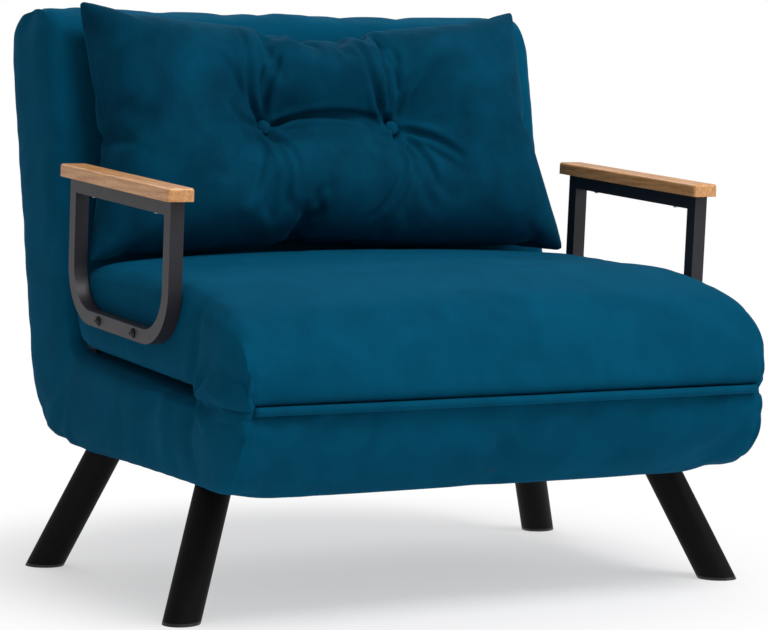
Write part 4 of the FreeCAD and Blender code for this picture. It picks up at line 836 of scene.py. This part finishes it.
class CHAIR_OT_pillow(ChairPiece, bpy.types.Operator):
    """A loose pillow with two covered buttons, filled as cloth and leaned on the backrest"""
    bl_idname = "chair.pillow"
    bl_label = "Pillow"

    def execute(self, context):
        bm = pillow_sheets(self.sizes.pillow_width, self.sizes.pillow_height, PILLOW_STEP)
        item = as_object("pillow", bm)
        held = []
        for vertex in item.data.vertices:
            pressed = min(self.button_distance(vertex.co, x) for x in BUTTON_SPOTS)
            held.append(1.0 if pressed < BUTTON_REACH else 0.0)
            if pressed < BUTTON_REACH:
                vertex.co.z = FRONT_DIMPLE if vertex.co.z > 0 else REAR_DIMPLE
        swell(item, pressure=9.0, slack=0.02, held=held, cap=0.12, frames=45, stiffness=10.0)
        low = [min(v.co[i] for v in item.data.vertices) for i in range(3)]
        high = [max(v.co[i] for v in item.data.vertices) for i in range(3)]
        buttons = []
        for x in BUTTON_SPOTS:
            ring = [v.co.copy() for v in item.data.vertices
                    if v.co.z > 0 and self.button_distance(v.co, x) < BUTTON_REACH]
            middle = sum(ring, Vector()) / len(ring)
            buttons.append(self.lean_spot(middle, low, high))
        for vertex in item.data.vertices:
            vertex.co = self.lean_spot(vertex.co, low, high)
        item.data.update()
        subdivided(item, 1)
        self.crease(item)
        sew(item)
        finish(item, bpy.data.materials[PILLOW_VELVET])
        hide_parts("pillow_cover", "pillow_filling")
        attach(item, "pillow")
        self.cover_buttons(buttons)
        return {"FINISHED"}

    def button_distance(self, spot, x):
        """How far a spot of the flat pillow is from the button at x."""
        return (Vector((x, BUTTON_HEIGHT)) - spot.xy).length

    def lean_spot(self, spot, low, high):
        """Stands a spot of the pillow on the seat and leans it on the backrest."""
        up = PILLOW_TOP - PILLOW_FOOT
        out = Vector((0, -up.z, up.y)).normalized()
        part = (spot.y - low[1]) / (high[1] - low[1])
        across = spot.x / (high[0] - low[0])
        x = FOOT_MIDDLE + (TOP_MIDDLE - FOOT_MIDDLE) * part
        x += across * (FOOT_WIDTH + (TOP_WIDTH - FOOT_WIDTH) * part)
        row = BASE_PLACE @ (Vector((x, 0, 0)) + PILLOW_FOOT + up * part + out * spot.z)
        bow = 1 - min(1.0, abs(x) / HALF_WIDTH) ** 2
        lean = BACK_PLACE.inverted() @ row
        lean.y = min(lean.y, -BACK_GAP - BACK_CROWN * bow)
        stand = SEAT_PLACE.inverted() @ (BACK_PLACE @ lean)
        stand.z = max(stand.z, SEAT_TOP + SEAT_CROWN * bow)
        return SEAT_PLACE @ stand

    def crease(self, item):
        """Presses the creases that run out from the buttons, with soft lips beside them."""
        data = item.data.attributes
        flat_x, flat_y, front = (data[name].data for name in ("flat_x", "flat_y", "front"))
        normals = [v.normal.copy() for v in item.data.vertices]
        lines = []
        for x, creases in zip(BUTTON_SPOTS, CREASES):
            lines += [(Vector((x, BUTTON_HEIGHT)), Vector(way), depth * MM)
                      for way, depth in creases]
        for n, vertex in enumerate(item.data.vertices):
            if front[n].value < 0.5:
                continue
            here = Vector((flat_x[n].value, flat_y[n].value))
            total = 0.0
            for start, way, depth in lines:
                part = max(0.06, min(1.0, (here - start).dot(way) / way.length_squared))
                bowed = start + way * part
                bowed += way.orthogonal() * CREASE_BOW * math.sin(math.pi * part)
                away = (here - bowed).length / CREASE_WIDTH
                lip = 0.5 * math.exp(-((away - 2.0) / 0.9) ** 2)
                total += depth * (lip - math.exp(-away * away)) * (1 - part) ** 0.5
            vertex.co += normals[n] * max(DEEPEST, min(HIGHEST, total))
        item.data.update()

    def cover_buttons(self, spots):
        """Two domed buttons covered in the pillow's velvet, drawn into the cloth."""
        up = (BASE_PLACE @ PILLOW_TOP - BASE_PLACE @ PILLOW_FOOT).normalized()
        out = Vector((0, -up.z, up.y))
        turn = Matrix((Vector((1, 0, 0)), up, out)).transposed().to_4x4()
        radius = self.sizes.button_radius
        bm = bmesh.new()
        for spot in spots:
            place = Matrix.Translation(spot + out * BUTTON_STAND) @ turn
            bmesh.ops.create_uvsphere(bm, u_segments=28, v_segments=16, radius=radius,
                                      matrix=place @ Matrix.Diagonal((1, 1, BUTTON_DOME, 1)))
        item = as_object("pillow_covered_buttons", bm)
        finish(item, bpy.data.materials[PILLOW_VELVET])
        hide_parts("pillow_buttons")
        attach(item, "pillow")


class CHAIR_OT_metalwork(ChairPiece, bpy.types.Operator):
    """Finishes the steel, wood and plastic pieces that come with the frame"""
    bl_idname = "chair.metalwork"
    bl_label = "Frame finishes"

    def execute(self, context):
        colours = self.colours
        finishes = {
            coated_steel("satin powder coat", tuple(colours.arm_coat), 0.42, 1.6, 0.15):
                ("arm_frame", "arm_spacers"),
            coated_steel("matt black paint", tuple(colours.leg_paint), 0.55, 2.2, 0.12, 0.1):
                ("leg_front", "leg_rear"),
            coated_steel("black powder coat", linear("#2a2a2c"), 0.5, 2.0, 0.15):
                ("base_frame", "seat_frame", "back_frame", "leg_plates", "front_hinge",
                 "recline_fixed", "recline_moving", "head_leg"),
            coated_steel("black oxide steel", linear("#141415"), 0.35, 1.0, 0.1):
                ("arm_bolts",),
            lacquered_beech("lacquered beech"): ("arm_board",),
            zinc_plate("zinc plate"):
                ("arm_screws", "leg_bolts", "recline_pins", "recline_base_bolts",
                 "recline_back_bolts", "head_leg_pivots", "head_leg_bracket_bolts"),
            moulded_plastic("black polypropylene", linear("#161618"), 0.45):
                ("foot_glides", "base_slat_holders", "seat_slat_holders",
                 "back_slat_holders", "head_leg_sleeves"),
            birch_ply("bent birch plywood"): ("base_slats", "seat_slats", "back_slats"),
            woven_ribbon("woven tag ribbon", tuple(colours.tag)): ("side_tag",),
            open_foam("cut foam", linear("#e8e2cc")):
                ("base_foam", "seat_foam", "seat_underside_pad", "back_foam"),
            open_foam("polyester fibre", linear("#f0f0ee")): ("pillow_filling",),
        }
        stems = {stem: material for material, names in finishes.items() for stem in names}
        for name, item in frame["nodes"].items():
            fitting = [stem for stem in stems if name.startswith(stem)]
            cover = bpy.data.materials[VELVET]
            finish(item, stems[max(fitting, key=len)] if fitting else cover)
        return {"FINISHED"}


# Name, place, size in metres and power in watts.
LAMPS = (
    ("key", (0.5, -1.7, 3.4), 1.8, 88.0),
    ("fill", (2.4, -2.4, 1.8), 2.0, 22.0),
    ("rear", (0.2, 2.4, 2.8), 2.0, 30.0),
)
LAMP_AIM = Vector((0, 0, 0.4))
WORLD_LIGHT = 0.42
CAMERA_SPOT = Vector((-1.9961, FRONT_AXIS.y - 3.2905, 0.7291))
CAMERA_YAW, CAMERA_PITCH, CAMERA_ROLL = 0.4987, 0.0847, 0.0149
SENSOR_MM, LENS_MM = 36.0, 136.2


class CHAIR_OT_stage(ChairPiece, bpy.types.Operator):
    """A pale studio floor, soft lamps and a camera at the photograph's angle"""
    bl_idname = "chair.stage"
    bl_label = "Studio"

    def execute(self, context):
        scene = context.scene
        scene.view_settings.view_transform = "Standard"
        self.floor()
        self.lamps(scene)
        self.camera(scene)
        return {"FINISHED"}

    def floor(self):
        bm = bmesh.new()
        bmesh.ops.create_grid(bm, x_segments=8, y_segments=8, size=self.sizes.floor_size / 2)
        item = as_object("studio_floor", bm)
        material, shader = new_material("studio floor")
        join(material, shader, {"Base Color": tuple(self.colours.floor), "Roughness": 0.9,
                                "Specular IOR Level": 0.1})
        # Past the shadow the floor fades to white, so that it meets the background unseen.
        away = add(material, "ShaderNodeVectorMath", {0: coordinates(material)},
                   operation="LENGTH")
        near = add(material, "ShaderNodeMapRange", {
            "Value": away.outputs["Value"], "From Min": 0.42, "From Max": 0.80,
            "To Min": 0.5, "To Max": 1.0}, interpolation_type="SMOOTHSTEP")
        path = add(material, "ShaderNodeLightPath")
        seen = add(material, "ShaderNodeMath", {
            0: path.outputs["Is Camera Ray"], 1: path.outputs["Is Glossy Ray"]},
            operation="MAXIMUM")
        fade = add(material, "ShaderNodeMath", {
            0: near.outputs["Result"], 1: seen.outputs[0]}, operation="MULTIPLY")
        white = add(material, "ShaderNodeEmission", {"Color": grey(1.0), "Strength": 1.0})
        mixed = add(material, "ShaderNodeMixShader", {
            0: fade.outputs[0], 1: shader.outputs[0], 2: white.outputs[0]})
        join(material, material.node_tree.nodes["Material Output"],
             {"Surface": mixed.outputs[0]})
        finish(item, material)

    def lamps(self, scene):
        """A white world, dimmer as a light than as a background, and three soft lamps."""
        world = bpy.data.worlds.new("studio")
        world.use_nodes = True
        scene.world = world
        path = add(world, "ShaderNodeLightPath")
        seen = add(world, "ShaderNodeMath", {
            0: path.outputs["Is Camera Ray"], 1: path.outputs["Is Transmission Ray"]},
            operation="MAXIMUM")
        strength = add(world, "ShaderNodeMapRange", {
            "Value": seen.outputs[0], "To Min": WORLD_LIGHT, "To Max": 1.0})
        join(world, world.node_tree.nodes["Background"],
             {"Color": grey(1.0), "Strength": strength.outputs["Result"]})
        for name, spot, size, power in LAMPS:
            data = bpy.data.lights.new(name, "AREA")
            data.energy, data.size = power, size
            lamp = bpy.data.objects.new(name, data)
            scene.collection.objects.link(lamp)
            lamp.rotation_mode = "QUATERNION"
            lamp.rotation_quaternion = (LAMP_AIM - Vector(spot)).to_track_quat("-Z", "Y")
            lamp.location = spot

    def camera(self, scene):
        """Stands low, in front of the chair and to its right."""
        data = bpy.data.cameras.new("camera")
        data.sensor_width, data.lens = SENSOR_MM, LENS_MM
        camera = bpy.data.objects.new("camera", data)
        scene.collection.objects.link(camera)
        ahead = Vector((math.sin(CAMERA_YAW) * math.cos(CAMERA_PITCH),
                        math.cos(CAMERA_YAW) * math.cos(CAMERA_PITCH),
                        -math.sin(CAMERA_PITCH)))
        right = Vector((math.cos(CAMERA_YAW), -math.sin(CAMERA_YAW), 0))
        above = right.cross(ahead)
        side = right * math.cos(CAMERA_ROLL) + above * math.sin(CAMERA_ROLL)
        top = above * math.cos(CAMERA_ROLL) - right * math.sin(CAMERA_ROLL)
        turn = Matrix((side, top, -ahead)).transposed().to_4x4()
        camera.matrix_world = Matrix.Translation(CAMERA_SPOT) @ turn
        scene.camera = camera


class CHAIR_PT_sidebar(bpy.types.Panel):
    """Lists the chair's sizes, colours and pieces"""
    bl_idname = "CHAIR_PT_sidebar"
    bl_label = "Chair Bed"
    bl_space_type = "VIEW_3D"
    bl_region_type = "UI"
    bl_category = "Chair Bed"

    def draw(self, context):
        for group in (context.scene.chair_sizes, context.scene.chair_colours):
            column = self.layout.column(align=True)
            for name in group.bl_rna.properties.keys():
                if name not in ("rna_type", "name"):
                    column.prop(group, name)
        column = self.layout.column(align=True)
        for operator in OPERATORS:
            column.operator(operator.bl_idname)


OPERATORS = (
    CHAIR_OT_materials, CHAIR_OT_metalwork, CHAIR_OT_seat, CHAIR_OT_lower_mattress,
    CHAIR_OT_front_corners, CHAIR_OT_welt, CHAIR_OT_pillow, CHAIR_OT_stage,
)
CLASSES = (ChairSizes, ChairColours) + OPERATORS + (CHAIR_PT_sidebar,)


def register():
    for cls in CLASSES:
        bpy.utils.register_class(cls)
    bpy.types.Scene.chair_sizes = PointerProperty(type=ChairSizes)
    bpy.types.Scene.chair_colours = PointerProperty(type=ChairColours)


def unregister():
    del bpy.types.Scene.chair_colours
    del bpy.types.Scene.chair_sizes
    for cls in reversed(CLASSES):
        bpy.utils.unregister_class(cls)


def main():
    register()
    for operator in OPERATORS:
        group, name = operator.bl_idname.split(".")
        getattr(getattr(bpy.ops, group), name)()


if __name__ == "__main__":
    main()
